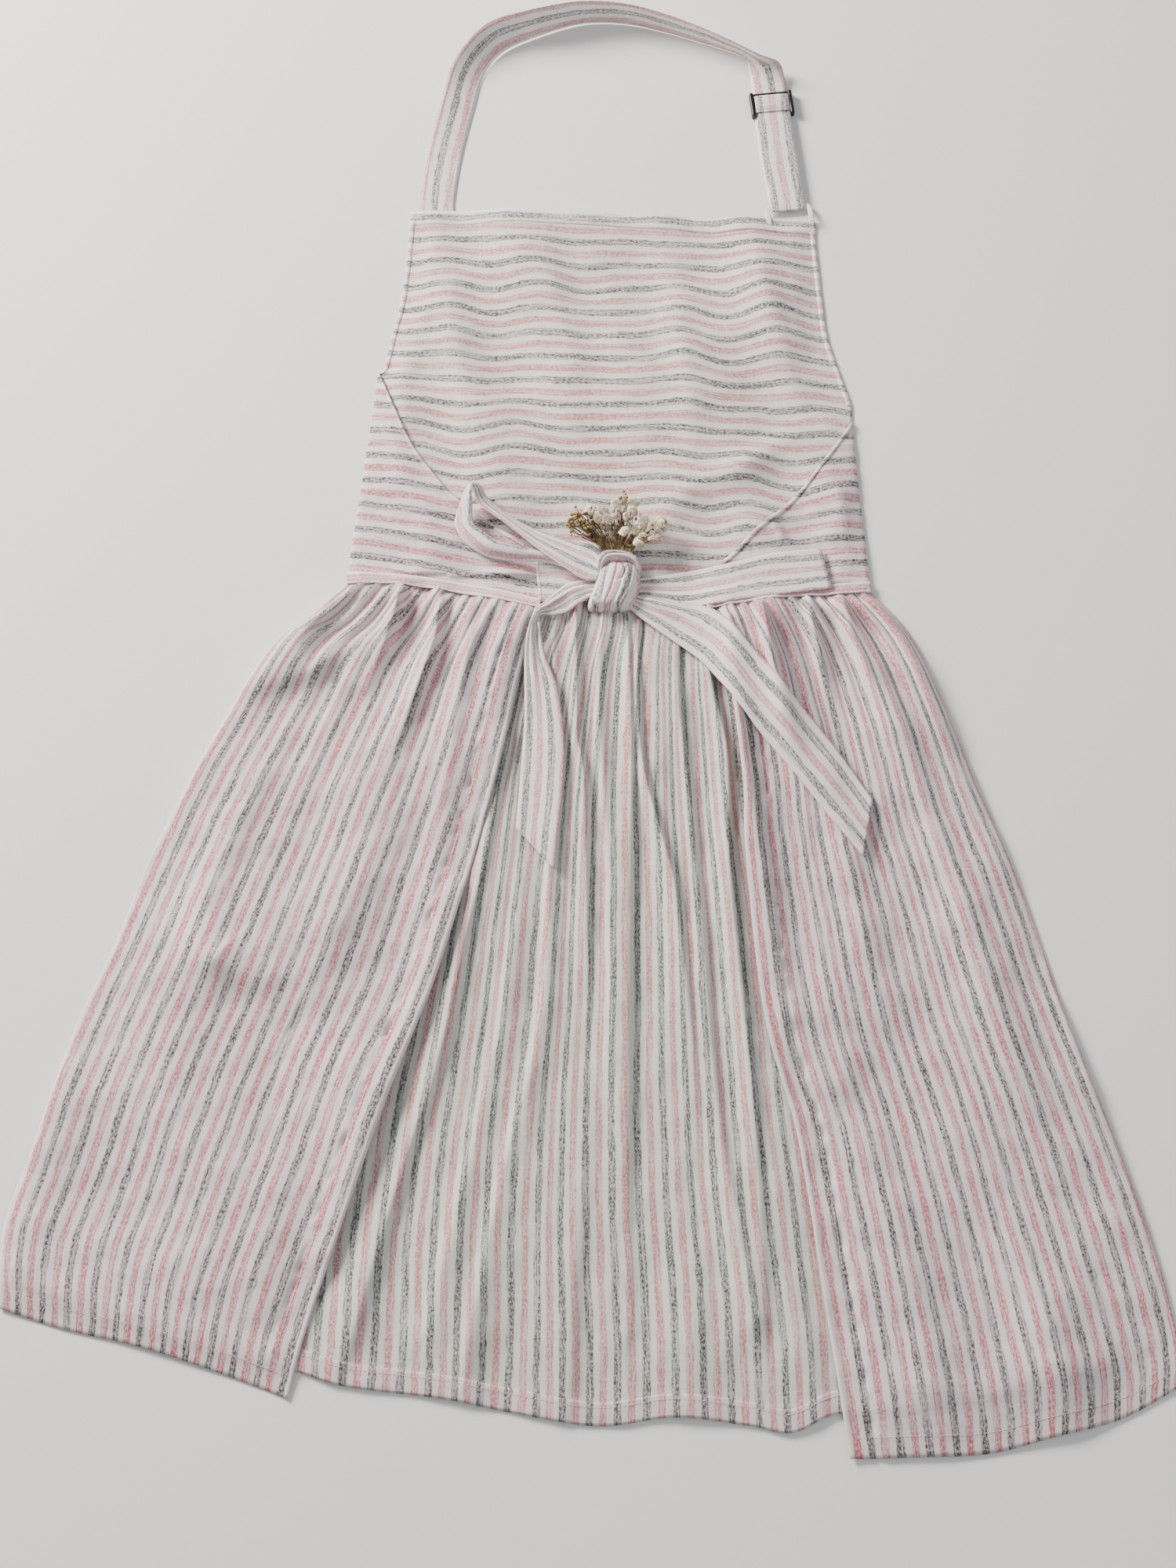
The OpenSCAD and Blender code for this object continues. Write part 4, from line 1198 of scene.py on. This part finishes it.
@dataclass
class NeckStrap:
    """The neck strap, its loop and its slider. The figures repeat the part's own."""

    width: float = 25.0
    thickness: float = 0.8
    foot: tuple[float, float] = (-95.0, 360.0)
    loop_at: tuple[float, float] = (147.0, 351.5)
    lean: float = 6.0
    rise: float = 154.0
    run: float = 100.0
    slider_at: float = 89.0
    # Share of the span and of the rise in percent, tilt in degrees
    arch: Points = field(default_factory=lambda: [
        (0, 0, 0), (2, 23, 4), (6, 52, 14), (9, 70, 28), (15, 83, 50), (26, 92, 74), (42, 100, 88),
        (57, 100, 93),
        (71, 95, 97), (83, 89, 102), (92.5, 84, 108)])
    # Where it lies down again: the inner and the outer edge, in the part's frame
    turn: list[tuple[Place, Place]] = field(default_factory=lambda: [
        ((119.0, 483.0, 0.4), (128.5, 472.0, 19.5)), ((121.5, 472.0, 0.8), (143.5, 473.0, 9.0)),
        ((123.0, 461.0, 1.4), (148.0, 461.5, 4.0))])

    def on_run(self, x: float, y: float, z: float) -> tuple[float, float, float]:
        """A point given along the straight run, in the part's frame."""
        a = math.radians(self.lean)
        return (self.loop_at[0] + x * math.cos(a) - y * math.sin(a),
                self.loop_at[1] + x * math.sin(a) + y * math.cos(a), z)

    def band(self, runs: list[tuple[float, float]], rows: int, start: float) -> Cloth:
        """A flat stretch of strap along the run.

        Args:
            runs: Distance along the run and height of each station.
            rows: Places along the stretch.
            start: Place across the stripes of its left edge.

        Returns:
            The cloth.
        """
        half = self.width / 2
        a = [self.on_run(-half, d, z) for d, z in runs]
        b = [self.on_run(half, d, z) for d, z in runs]
        points, uv = ribbon(a, b, rows, 11, start, self.width)
        return Cloth(points, uv, self.thickness, True)

    def build(self, shop: Shop) -> None:
        """Builds the strap from its sewn foot, over the arch, down the run and round the loop."""
        inner, tilt = [], []
        top = self.on_run(-self.width / 2, self.run, 0)
        for share, up, angle in self.arch:
            inner.append((self.foot[0] + (top[0] - self.foot[0]) * share / 100,
                          self.foot[1] + self.rise * up / 100, 0.0))
            tilt.append(float(angle))
        first = [(self.foot[0], 339.0, 0.4), (self.foot[0], 350.0, 0.4)]
        half = self.width / 2
        a, b = list(first), [(x - self.width, y, z) for x, y, z in first]
        for i, (p, angle) in enumerate(zip(inner, tilt)):
            before, after = inner[max(i - 1, 0)], inner[i + 1] if i + 1 < len(inner) else self.turn[0][0]
            t = np.subtract(after, before)[:2] if i else np.array([0.0, 1.0])
            out = np.array([-t[1], t[0]]) / np.linalg.norm(t)
            c, s = math.cos(math.radians(angle)), math.sin(math.radians(angle))
            a.append((p[0], p[1], 0.4))
            b.append((p[0] + out[0] * c * self.width, p[1] + out[1] * c * self.width, 0.4 + s * self.width))
        for lower, upper in self.turn:
            a.append(lower)
            b.append(upper)
        for d in (100.0, 92.0, 78.0, 60.0, 36.0, 14.0, 6.0):
            z = 2.0
            aside = -1.7 * ease(0, 30, d) * (1 - ease(70, 95, d))
            a.append(self.on_run(-half + aside, d, z))
            b.append(self.on_run(half + aside, d, z))
        # Round the loop's strip, to where the front strand starts
        for d, z in ((1.0, 2.0), (-2.2, 2.3), (-3.2, 3.0)):
            a.append(self.on_run(-half, d, z))
            b.append(self.on_run(half, d, z))
        points, uv = ribbon(b, a, 520, 13, 8.0, self.width)
        bulge = np.sin(np.pi * np.linspace(0, 1, 13))[None]
        ripple = waves(uv[..., 1], uv[..., 0] * 0.4, 34, "strap_ripple") * 0.25 * bulge
        loose = ease(30, 60, uv[..., 1:2]) * (1 - ease(450, 480, uv[..., 1:2]))
        points = points + normals(points) * ripple[..., None] * loose
        cloth = Cloth(points, uv, self.thickness, True)
        strap = shop.piece("neck_strap_cloth", cloth, shop.bench.double,
                           ["neck_strap", "strap_back_run", "strap_anchor", "strap_fold"], "strap_cloth",
                           body="", lay=False)
        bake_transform(strap)
        front = self.band([(-3.2, 3.2), (-2.5, 3.8), (1.0, 4.0), (9.0, 4.0), (30.0, 4.05), (60.0, 4.1),
                           (80.0, 4.0),
                           (86.5, 4.0)], 110, -2.5)
        strand = shop.piece("strap_front_strand", front, shop.bench.double, ["strap_front_run"],
                            "strap_cloth", body="",
                            lay=False)
        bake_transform(strand)
        end = self.band([(86.0, 4.0), (90.0, 4.0), (94.4, 4.4), (95.6, 5.2), (94.4, 6.15), (90.0, 6.3),
                         (86.0, 5.9),
                         (83.4, 5.2), (81.8, 4.95)], 60, -2.5)
        sewn = shop.piece("strap_sewn_end_cloth", end, shop.bench.double, ["strap_sewn_end"], "strap_cloth",
                          body="slider",
                          lay=False)
        row = np.array([self.on_run(x, 84.0, 5.85) for x in np.linspace(-half + 1.5, half - 1.5, 9)])
        sewn_row = stitches("strap_sewn_end_stitches", row, shop.bench.thread, "slider", 2.6)
        self.edge_stitches(shop, points)
        self.loop(shop)
        self.slider(shop)

    def edge_stitches(self, shop: Shop, points: Array) -> None:
        """Topstitches both edges of the strap where it stands clear of the joint."""
        n = normals(points)
        for name, column in (("outer", 1), ("inner", 11)):
            up = 1 if n[..., 2].mean() > 0 else -1
            line = (points + n * (self.thickness / 2 + 0.05) * up)[40:400:3, column]
            stitches(f"strap_{name}_stitches", line, shop.bench.thread, "neck_strap", 3.0, 0.16)

    def loop(self, shop: Shop) -> None:
        """The fabric loop that the strap turns round, its two ends sewn into the top hem."""
        w, z = (self.width + 9) / 2 - 1.6, 2.9
        path = [(-w, -15, z + 1.6), (-w, -9, z + 1.7), (-w, -4, z + 0.6), (-w + 1.0, -0.6, z),
                (-w + 4, 0.2, z), (0, 0.2, z),
                (w - 4, 0.2, z), (w - 1.0, -0.6, z), (w, -4, z + 0.6), (w, -9, z + 1.7), (w, -15, z + 1.6)]
        line = curve([self.on_run(*p) for p in path], 120)
        t = np.gradient(line, axis=0)
        t[:, 2] = 0
        t /= np.linalg.norm(t, axis=1, keepdims=True)
        side = np.stack([-t[:, 1], t[:, 0], 0 * t[:, 0]], axis=1)
        s = np.linspace(-1, 1, 9)
        grid = line[:, None] + side[:, None] * (s[None, :, None] * 1.8)
        uv = np.stack(np.broadcast_arrays(s[None] * 1.8 + 5.0, lengths(line)[:, None]), -1)
        cloth = Cloth(grid, uv, 0.6, True)
        loop = shop.piece("strap_loop_cloth", cloth, shop.bench.double, ["strap_loop"], "strap_cloth")

    def slider(self, shop: Shop) -> None:
        """The moulded slider: two round side rails, end bars under the strap and a middle bar."""
        bm = bmesh.new()
        half = self.width / 2 + 0.3
        bars = [(-half - 1.5, 0, 2.9, 3.0, 20.5, 5.8), (half + 1.5, 0, 2.9, 3.0, 20.5, 5.8),
                (0, -8.6, 0.7, 2 * half + 2, 3.0, 1.2), (0, 8.7, 3.6, 2 * half + 2, 2.2, 1.8),
                (0, 0, 5.1, 2 * half + 2, 2.6, 1.0)]
        for x, y, z, w, d, h in bars:
            made = bmesh.ops.create_cube(bm, size=1.0)
            for v in made["verts"]:
                v.co = Vector((x + v.co.x * w, y + v.co.y * d, z + v.co.z * h))
            edges = {e for v in made["verts"] for e in v.link_edges}
            bmesh.ops.bevel(bm, geom=list(edges), offset=min(w, d, h) * 0.38, segments=4, profile=0.5,
                            affect="EDGES")
        verts = [self.on_run(v.co.x, v.co.y + self.slider_at, v.co.z) for v in bm.verts]
        bm.verts.index_update()
        faces = [[v.index for v in f.verts] for f in bm.faces]
        bm.free()
        slider = mesh_object("slider_bars", np.array(verts), faces, shop.bench.plastic)
        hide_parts("slider")
        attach(slider, "slider")


@dataclass
class Ties:
    """The two ties in a half bow: knot, cap over the knot, one loop and two tails."""

    width: float = 34.0
    thickness: float = 1.0

    def build(self, shop: Shop) -> None:
        """Builds the ties, from the lowest layer up."""
        self.right_tie(shop)
        self.left_tie(shop)
        self.right_tail(shop)
        self.left_tail(shop)
        self.bow_loop(shop)
        self.knot(shop)

    def flat_band(self, shop: Shop, name: str, a: Points, b: Points, rows: int, cols: int, start: float,
                  nodes: list[str], lift: float, body: str, pleats: tuple[Fold, ...] = (),
                  floor: float = 0.0, lay: bool = True,
                  ends: tuple[float, float] = (0.0, 0.0)) -> tuple[bpy.types.Object, Cloth]:
        """A double band of tie that lies on the layers below.

        Args:
            shop: The workshop.
            name: The piece's name.
            a: Its first edge in plan.
            b: Its second edge in plan.
            rows: Places along it.
            cols: Places across it.
            start: Place across the stripes of the first edge.
            nodes: The CAD nodes that it stands for.
            lift: How far it stands off what it lies on.
            body: The CAD body, or nothing if it is blended later.
            pleats: Creases in it.
            floor: The least height of its underside.
            lay: Whether later layers lie on top of it.
            ends: Extra height at its two ends.

        Returns:
            The object and its cloth.
        """
        plan, uv = ribbon(a, b, rows, cols, start, self.width)
        extra = lift + 0.35 * (1 + waves(plan[..., 0], plan[..., 1], 46, name))
        for pleat in pleats:
            extra = extra + pleat.lift(plan)
        grid = stiffened(laid(shop.bed, plan, 0.35, self.thickness, 8), 60)
        grid[..., 2] += extra
        grid[..., 2] = np.maximum(grid[..., 2], floor + self.thickness / 2)
        t = np.linspace(0, 1, rows)[:, None]
        grid[..., 2] += ends[0] * np.exp(-((t / 0.12) ** 2)) + ends[1] * np.exp(-(((1 - t) / 0.12) ** 2))
        cloth = Cloth(grid, uv, self.thickness, True)
        obj = shop.piece(name, cloth, shop.bench.double, nodes, "tie_cloth", body, lay)
        # The left tail is bunched: only the width that shows is built, about 0.6 of the cut
        return obj, cloth

    def right_tie(self, shop: Shop) -> None:
        """The right tie, from its seam on the wing to the knot."""
        a = [(160.9, 75.5), (124.9, 70.5), (95.4, 63), (63.3, 57), (35.5, 53), (22, 51)]
        b = [(167, 45), (105.4, 35), (92, 32.5), (66, 31), (38, 37), (22, 38)]
        pleats = (Fold([(40, 52), (70, 50), (104, 54)], (1.6, 1.0, 0.2), (2.6, 3.5, 5)),
                  Fold([(40, 40), (74, 40), (120, 44)], (1.8, 1.2, 0.2), (2.6, 3.5, 5)))
        self.flat_band(shop, "right_tie_cloth", a, b, 90, 26, -6.5, ["right_tie"], 0.4, "apron", pleats, 6.2)
        shop.seam_row("right_tie_seam_stitches", [(158.5, 76), (161, 62), (165, 46.5)])

    def left_tie(self, shop: Shop) -> None:
        """The left tie, from its seam on the wing to the knot, mostly under the loop."""
        a = [(-34, 67), (-20, 68), (-8, 62), (4, 56), (16, 52)]
        b = [(-31, 35), (-18, 34), (-8, 34.5), (4, 37), (16, 40)]
        self.flat_band(shop, "left_tie_cloth", a, b, 60, 22, -2.0, ["left_tie"], 0.3, "apron", (), 6.2)
        shop.seam_row("left_tie_seam_stitches", [(-32.6, 66), (-30.6, 50), (-29.6, 36)])

    def right_tail(self, shop: Shop) -> None:
        """The right tail, from under the knot to its slanted end."""
        a = [(24, 36), (34, 25), (50, 12), (74.4, -7), (90.3, -26.8), (113.5, -59.8), (136.5, -89.1),
             (162, -123.5), (180, -146.6)]
        b = [(30, 40), (52, 34), (80, 30), (94.4, 19.5), (106.2, 4), (123.5, -17.1), (138.6, -36.9),
             (164.5, -70.4), (188.3, -106.6)]
        pleats = (Fold([(44, 34), (70, 18), (94, -8)], (2.2, 1.6, 0.3), (3, 4, 6)),
                  Fold([(120, -36), (132, -52), (140, -60)], (0.2, 1.4, 0.2), (7, 8, 7)),
                  Fold([(150, -80), (162, -96), (170, -110)], (0.2, 1.0, 0.2), (8, 8, 8)))
        obj, _ = self.flat_band(shop, "right_tail_cloth", a, b, 150, 24, -7.0, ["right_tail"], 1.8, "",
                                pleats, 6.4)
        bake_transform(obj)

    def left_tail(self, shop: Shop) -> None:
        """The left tail, which leaves the knot to the left and turns down over a pinched fold."""
        a = [(12, 49), (0, 49.5), (-11.3, 47.6), (-18.7, 41.8), (-27.1, 33.6), (-33, 26), (-38.1, 12),
             (-40.5, -8.6), (-40.1, -48),
             (-42.3, -87.5), (-45, -126)]
        b = [(12, 36), (3, 36.5), (-4.3, 31.3), (-12.3, 26), (-21.2, 23.8), (-29.5, 23), (-30, 17),
             (-27, -3.5), (-17.5, -33),
             (-13.6, -82), (-20, -155)]
        pleats = (Fold([(6, 45), (-8, 42), (-20, 35), (-30, 27)], (1.5, 2.2, 2.4, 1.6), (2.5, 2.5, 2.2, 2.0),
                       1.2, 0.4),
                  Fold([(-36, 16), (-35, -4), (-32, -44)], (1.8, 1.6, 0.3), (1.6, 2.4, 6)),
                  Fold([(-31, 16), (-28, -8), (-22, -40)], (1.6, 1.2, 0.2), (1.2, 2.4, 5)))
        obj, _ = self.flat_band(shop, "left_tail_cloth", a, b, 190, 24, -5.5,
                                ["left_tail", "left_tail_turn"], 2.0, "",
                                pleats, 6.4, ends=(2.5, 0.0))
        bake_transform(obj)

    def bow_loop(self, shop: Shop) -> None:
        """The single loop: out along its darker band, round the pinched tip and back."""
        a = [(13.7, 66.4, 11), (5.2, 76.4, 10), (-8.2, 79.9, 10), (-34.4, 88.3, 11), (-55.8, 100.5, 12.5),
             (-67, 111.3, 13.5),
             (-71, 119, 14), (-75, 121, 14), (-79, 119, 14), (-88, 98, 13), (-88, 88.8, 10),
             (-79.7, 76.5, 9.6),
             (-66.8, 68.3, 9.6), (-50.2, 64.8, 9.6), (-27.3, 63.6, 9.6), (-8, 58, 10), (8, 52, 11)]
        b = [(7.3, 47.1, 16), (-1.2, 47.8, 17), (-12.3, 54.9, 18), (-32, 70.1, 18), (-53.5, 88.5, 18),
             (-71.3, 102.4, 19),
             (-76.5, 112.4, 23), (-77.2, 114.6, 24), (-77.8, 113.4, 24), (-76.7, 104.5, 20),
             (-75.8, 89.6, 18),
             (-67.2, 81.6, 18.5), (-59.1, 75.7, 18.5), (-44.8, 72.4, 17), (-32.6, 72, 12.5), (-8, 66, 10.6),
             (8, 58, 11)]
        points, uv = ribbon(a, b, 260, 22, 0.0, self.width)
        s = np.linspace(0, 1, 22)[None]
        t = np.linspace(0, 1, 260)[:, None]
        back = ease(0.44, 0.56, t)
        uv[..., 0] = (1 - back) * (34 * s - 2.5) + back * (22.5 + 15 * s)
        pinch = 0.35 + 0.65 * np.exp(-((t - 0.47) / 0.1) ** 2)
        crease = 0.5 * np.sin(math.tau * (s * 1.6 + 0.15 * np.sin(t * 9))) * pinch
        bulge = (1.2 + 1.6 * back) * np.sin(np.pi * s)
        n = normals(points)
        n *= np.where(n[..., 2:] < 0, -1.0, 1.0)
        points = points + n * (crease * 0.6 + bulge)[..., None]
        cloth = Cloth(points, uv, self.thickness, True)
        loop = shop.piece("bow_loop_cloth", cloth, shop.bench.double, ["bow_loop"], "tie_cloth", "", False)
        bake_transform(loop)

    def knot(self, shop: Shop) -> None:
        """The knot's round front, drawn tight under the cap that crosses its top."""
        rows, cols = 60, 60
        left = [(12, 64), (9.0, 57), (6.5, 49), (4.6, 41), (2.2, 33), (2.6, 29.0)]
        right = [(33, 63.5), (36.8, 57), (36.8, 46), (35.2, 38), (32, 31), (29.8, 28.6)]
        plan, uv = ribbon(left, right, rows, cols, -6.0, self.width)
        s, t = np.linspace(0, 1, cols)[None], np.linspace(0, 1, rows)[:, None]
        plan[..., 1] -= 1.0 * np.sin(np.pi * s) * ease(0.5, 1, t)
        dome = domed(s, 3.2) * domed(t, 5)
        dome = dome * (0.82 + 0.18 * np.sin(np.pi * np.clip(t * 1.1, 0, 1)))
        z = 6.5 + 14.0 * dome
        for at, lean, deep in ((0.22, 0.16, 1.0), (0.44, -0.10, 1.3), (0.62, -0.10, 0.9), (0.80, -0.22, 1.2),
                               (0.9, -0.1, 0.7)):
            groove = np.exp(-(((s - at - lean * (t - 0.3)) / 0.03) ** 2))
            z = z - deep * dome * groove * (1 - ease(0.55, 1.0, t) * 0.6)
        off = (s - 0.42 - 0.22 * np.sin(t * 6)) / 0.03
        slit = np.exp(-(off**2)) * ease(0.04, 0.12, t) * (1 - ease(0.34, 0.46, t))
        z = z - 4.5 * slit
        front = Cloth(np.concatenate([plan, z[..., None]], -1), uv, self.thickness, False)
        knot = shop.piece("knot_front", front, shop.bench.double, ["knot"], "tie_cloth")
        # One domed face stands for several turns of the tie
        # The cap: a narrow turn of the tie across the knot's top, rounded over the stems
        rows, cols = 70, 20
        low = [(11.5, 52), (13, 58), (17, 61), (24, 61.6), (30, 60.6), (34, 58), (36, 54)]
        high = [(7.6, 54), (8.6, 63), (12.5, 68.6), (22, 68.8), (31, 66.4), (36.6, 62), (38, 56)]
        plan, uv = ribbon(low, high, rows, cols, 7.0, 18.0)
        s, t = np.linspace(0, 1, cols)[None], np.linspace(0, 1, rows)[:, None]
        dome = domed(s, 2.4) * domed(t, 3)
        z = 9.0 + 13.0 * dome - 1.6 * dome * np.exp(-(((s - 0.4 - 0.2 * t) / 0.07) ** 2))
        cap = Cloth(np.concatenate([plan, z[..., None]], -1), uv, self.thickness, False)
        wrap = shop.piece("knot_cap", cap, shop.bench.double, ["knot_wrap"], "tie_cloth")


@dataclass
class Sprig:
    """The small bunch of dried gypsophila that is tucked under the knot's cap."""

    blooms: Points = field(default_factory=lambda: [
        (2.5, 97.5), (11.6, 98.7), (14.8, 93), (18.6, 100.5), (20.7, 95.5), (30.3, 99), (34.6, 96),
        (28.6, 91), (27, 83),
        (34.4, 81.4), (38.1, 77), (37, 72.5), (46.1, 78.4), (53.1, 87.5), (48.8, 86), (43.5, 87), (7.3, 92),
        (24.4, 99),
        (31, 103), (51, 92), (40, 91)])
    buds: Points = field(default_factory=lambda: [
        (-8.7, 88.3), (-4.9, 91.8), (-11.3, 82.4), (-3.3, 85.3), (26.1, 107.5), (-7.1, 95), (0.9, 94.2),
        (-12, 86), (1, 86)])
    root: tuple[float, float, float] = (22.0, 64.0, 12.4)

    def build(self, shop: Shop) -> None:
        """Builds heads, buds and the stems that lead to them."""
        rnd = random_for("sprig")
        heads = [np.array([x, y, 19.0]) + rnd.normal(0, 1, 3) * (0.9, 0.9, 1.2) for x, y in self.blooms]
        heads += [np.array([x, y, 18.0]) + rnd.normal(0, 1, 3) * (3.0, 2.6, 2.0)
                  for x, y in self.blooms for _ in range(3)]
        buds = [np.array([x + 1.5, y + 1.0, 19.5]) + rnd.normal(0, 1, 3) * (1.6, 2.0, 1.2)
                for x, y in self.buds for _ in range(8)]
        buds += [np.array([rnd.uniform(0, 52), rnd.uniform(80, 94), rnd.uniform(13, 18)]) for _ in range(24)]
        self.flower_heads(shop, heads, rnd)
        self.bud_heads(shop, buds, rnd)
        self.stems(shop, heads + buds, rnd)

    def flower_heads(self, shop: Shop, heads: list[Array], rnd: np.random.Generator) -> None:
        """Small double blossoms of cupped petals."""
        verts, faces = [], []
        for number, centre in enumerate(heads):
            size = rnd.uniform(2.8, 3.9) if number < len(self.blooms) else rnd.uniform(1.4, 2.5)
            axis = np.array([rnd.normal(0, 0.5), rnd.normal(0.15, 0.5), 1.0])
            axis /= np.linalg.norm(axis)
            u = np.cross(axis, (1, 0, 0.2))
            u /= np.linalg.norm(u)
            v = np.cross(axis, u)
            rings = ((7, 1.0, 0.0), (6, 0.82, 0.3), (5, 0.56, 0.55), (3, 0.28, 0.75))
            for ring, (count, out, rise) in enumerate(rings):
                for k in range(count):
                    a = math.tau * (k + 0.5 * ring) / count + rnd.uniform(-0.2, 0.2)
                    d, e = u * math.cos(a) + v * math.sin(a), -u * math.sin(a) + v * math.cos(a)
                    base = len(verts)
                    wide = 0.5 * rnd.uniform(0.8, 1.2)
                    for r, w, h in ((0.05, 0.12, 0.0), (0.55, wide, 0.28), (1.0, wide * 0.75, 0.16)):
                        for side in (-1, 0, 1):
                            lift = rise + h + 0.12 * abs(side) + rnd.uniform(-0.06, 0.06)
                            verts.append(centre + size
                                         * (d * r * out + e * side * w * out + axis * lift * 0.8))
                    for i in (0, 3):
                        faces += [(base + i, base + i + 1, base + i + 4, base + i + 3),
                                  (base + i + 1, base + i + 2, base + i + 5, base + i + 4)]
        obj = mesh_object("gypsophila_heads", np.array(verts), faces, shop.bench.petals)
        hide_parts("white_flowers")
        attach(obj, "flower_bunch")

    def bud_heads(self, shop: Shop, buds: list[Array], rnd: np.random.Generator) -> None:
        """Closed buds and dry seed heads."""
        verts, faces = [], []
        for centre in buds:
            size = rnd.uniform(0.7, 1.4)
            base, rows, cols = len(verts), 5, 7
            for i in range(rows):
                phi = math.pi * (i + 0.5) / rows
                for j in range(cols):
                    a = math.tau * j / cols
                    r = size * math.sin(phi) * (1 + 0.22 * math.cos(3 * a + i))
                    verts.append(centre + (r * math.cos(a), r * math.sin(a), -size * 1.3 * math.cos(phi)))
            for i in range(rows - 1):
                for j in range(cols):
                    k = (j + 1) % cols
                    faces.append((base + i * cols + j, base + i * cols + k, base + (i + 1) * cols + k,
                                  base + (i + 1) * cols + j))
            faces += [tuple(base + j for j in range(cols - 1, -1, -1)),
                      tuple(base + (rows - 1) * cols + j for j in range(cols))]
        obj = mesh_object("gypsophila_buds", np.array(verts), faces, shop.bench.buds)
        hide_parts("flower_buds")
        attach(obj, "flower_bunch")

    def stems(self, shop: Shop, tips: list[Array], rnd: np.random.Generator) -> None:
        """Wiry stems that fan out from the knot, one to each head."""
        verts, faces = [], []
        ring = [(math.cos(a), math.sin(a)) for a in np.arange(5) * math.tau / 5]
        for tip in tips:
            foot = np.array([self.root[0] + np.clip((tip[0] - 22) * 0.24, -9.5, 9.5) + rnd.normal(0, 0.7),
                             self.root[1],
                             self.root[2] + rnd.uniform(-0.9, 0.9)])
            neck = foot + np.array([(tip[0] - foot[0]) * 0.12, 10.0, 0.4 + rnd.uniform(-0.3, 0.3)])
            bend = (neck + tip) / 2 + (rnd.normal(0, 1.2), rnd.normal(0, 1.2), rnd.normal(0.6, 0.6))
            line = curve([foot - (0, 3, 0.4), foot, neck, bend, tip], 14)
            t = np.gradient(line, axis=0)
            t /= np.linalg.norm(t, axis=1, keepdims=True)
            side = np.cross(t, (0, 0, 1.0))
            side /= np.linalg.norm(side, axis=1, keepdims=True)
            up = np.cross(side, t)
            base = len(verts)
            for i, p in enumerate(line):
                r = 0.34 - 0.16 * i / 13
                verts += [p + r * (side[i] * x + up[i] * y) for x, y in ring]
            for i in range(13):
                faces += [(base + 5 * i + j, base + 5 * i + (j + 1) % 5, base + 5 * i + 5 + (j + 1) % 5,
                           base + 5 * i + 5 + j)
                          for j in range(5)]
        obj = mesh_object("gypsophila_stems", np.array(verts), faces, shop.bench.stems)
        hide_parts("flower_stems")
        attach(obj, "flower_bunch")


@dataclass(frozen=True)
class Lamp:
    """A square soft light: its place and size in metres, its power in watts and its sRGB colour."""

    name: str
    place: tuple[float, float, float]
    size: float
    watts: float
    colour: str


@dataclass
class Studio:
    """A pale floor, soft lights and the camera."""

    target: tuple[float, float, float] = (0.002, -0.093, 0.0)
    distance: float = 1.5
    elevation: float = 70.0
    lens: float = 52.2
    lamps: tuple[Lamp, ...] = (Lamp("key", (-1.75, 1.35, 1.15), 0.9, 168.0, "#FFF8F1"),
                               Lamp("fill", (1.4, -0.6, 1.9), 2.2, 15.0, "#F3F6FF"))
    surround: str = "#EDEFF2"
    surround_strength: float = 0.40

    def camera(self) -> None:
        """Sets the camera up in front of and above the apron."""
        data = bpy.data.cameras.new("camera")
        data.lens, data.sensor_width = self.lens, 36.0
        data.clip_start, data.clip_end = 0.01, 20.0
        cam = bpy.data.objects.new("camera", data)
        bpy.context.scene.collection.objects.link(cam)
        e = math.radians(self.elevation)
        back = Vector((0, -math.cos(e), math.sin(e)))
        cam.location = Vector(self.target) + back * self.distance
        cam.rotation_mode = "QUATERNION"
        cam.rotation_quaternion = (-back).to_track_quat("-Z", "Y")
        bpy.context.scene.camera = cam

    def floor(self) -> None:
        """Lays the seamless paper."""
        size = 4000.0
        verts = np.array([(-size, -size, -0.4), (size, -size, -0.4), (size, size, -0.4),
                          (-size, size, -0.4)])
        paper = mesh_object("floor", verts, [(0, 1, 2, 3)], Backdrop().material())

    def lights(self) -> None:
        """Hangs a large soft key light, a fill light and a pale surround."""
        for lamp in self.lamps:
            data = bpy.data.lights.new(lamp.name, "AREA")
            data.size, data.energy = lamp.size, lamp.watts
            data.color = linear(lamp.colour)[:3]
            light = bpy.data.objects.new(lamp.name, data)
            light.location = lamp.place
            light.rotation_mode = "QUATERNION"
            aim = Vector((0, -0.05, 0)) - Vector(lamp.place)
            light.rotation_quaternion = aim.to_track_quat("-Z", "Y")
            bpy.context.scene.collection.objects.link(light)
        world = bpy.data.worlds.new("surround")
        world.use_nodes = True
        world.node_tree.nodes["Background"].inputs[0].default_value = linear(self.surround)
        world.node_tree.nodes["Background"].inputs[1].default_value = self.surround_strength
        bpy.context.scene.world = world


def main() -> None:
    """Builds the apron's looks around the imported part."""
    logging.basicConfig(level=logging.INFO, format="%(name)s: %(message)s")
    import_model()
    studio = Studio()
    studio.camera()
    shop = Shop(Workbench(), Bed())
    FrontSkirt().build(shop)
    Bib().build(shop)
    LEFT_WRAP.build(shop)
    RIGHT_WRAP.build(shop)
    LEFT_WING.build(shop)
    RIGHT_WING.build(shop)
    WaistSeam(Side.LEFT, [(-162, 58), (-132, 57), (-100, 53), (-62, 45), (-30, 37)]).build(shop)
    WaistSeam(Side.RIGHT, [(82, 37), (135, 46), (167, 49), (194, 52)]).build(shop)
    NeckStrap().build(shop)
    Ties().build(shop)
    Sprig().build(shop)
    studio.floor()
    studio.lights()


if __name__ == "__main__":
    main()
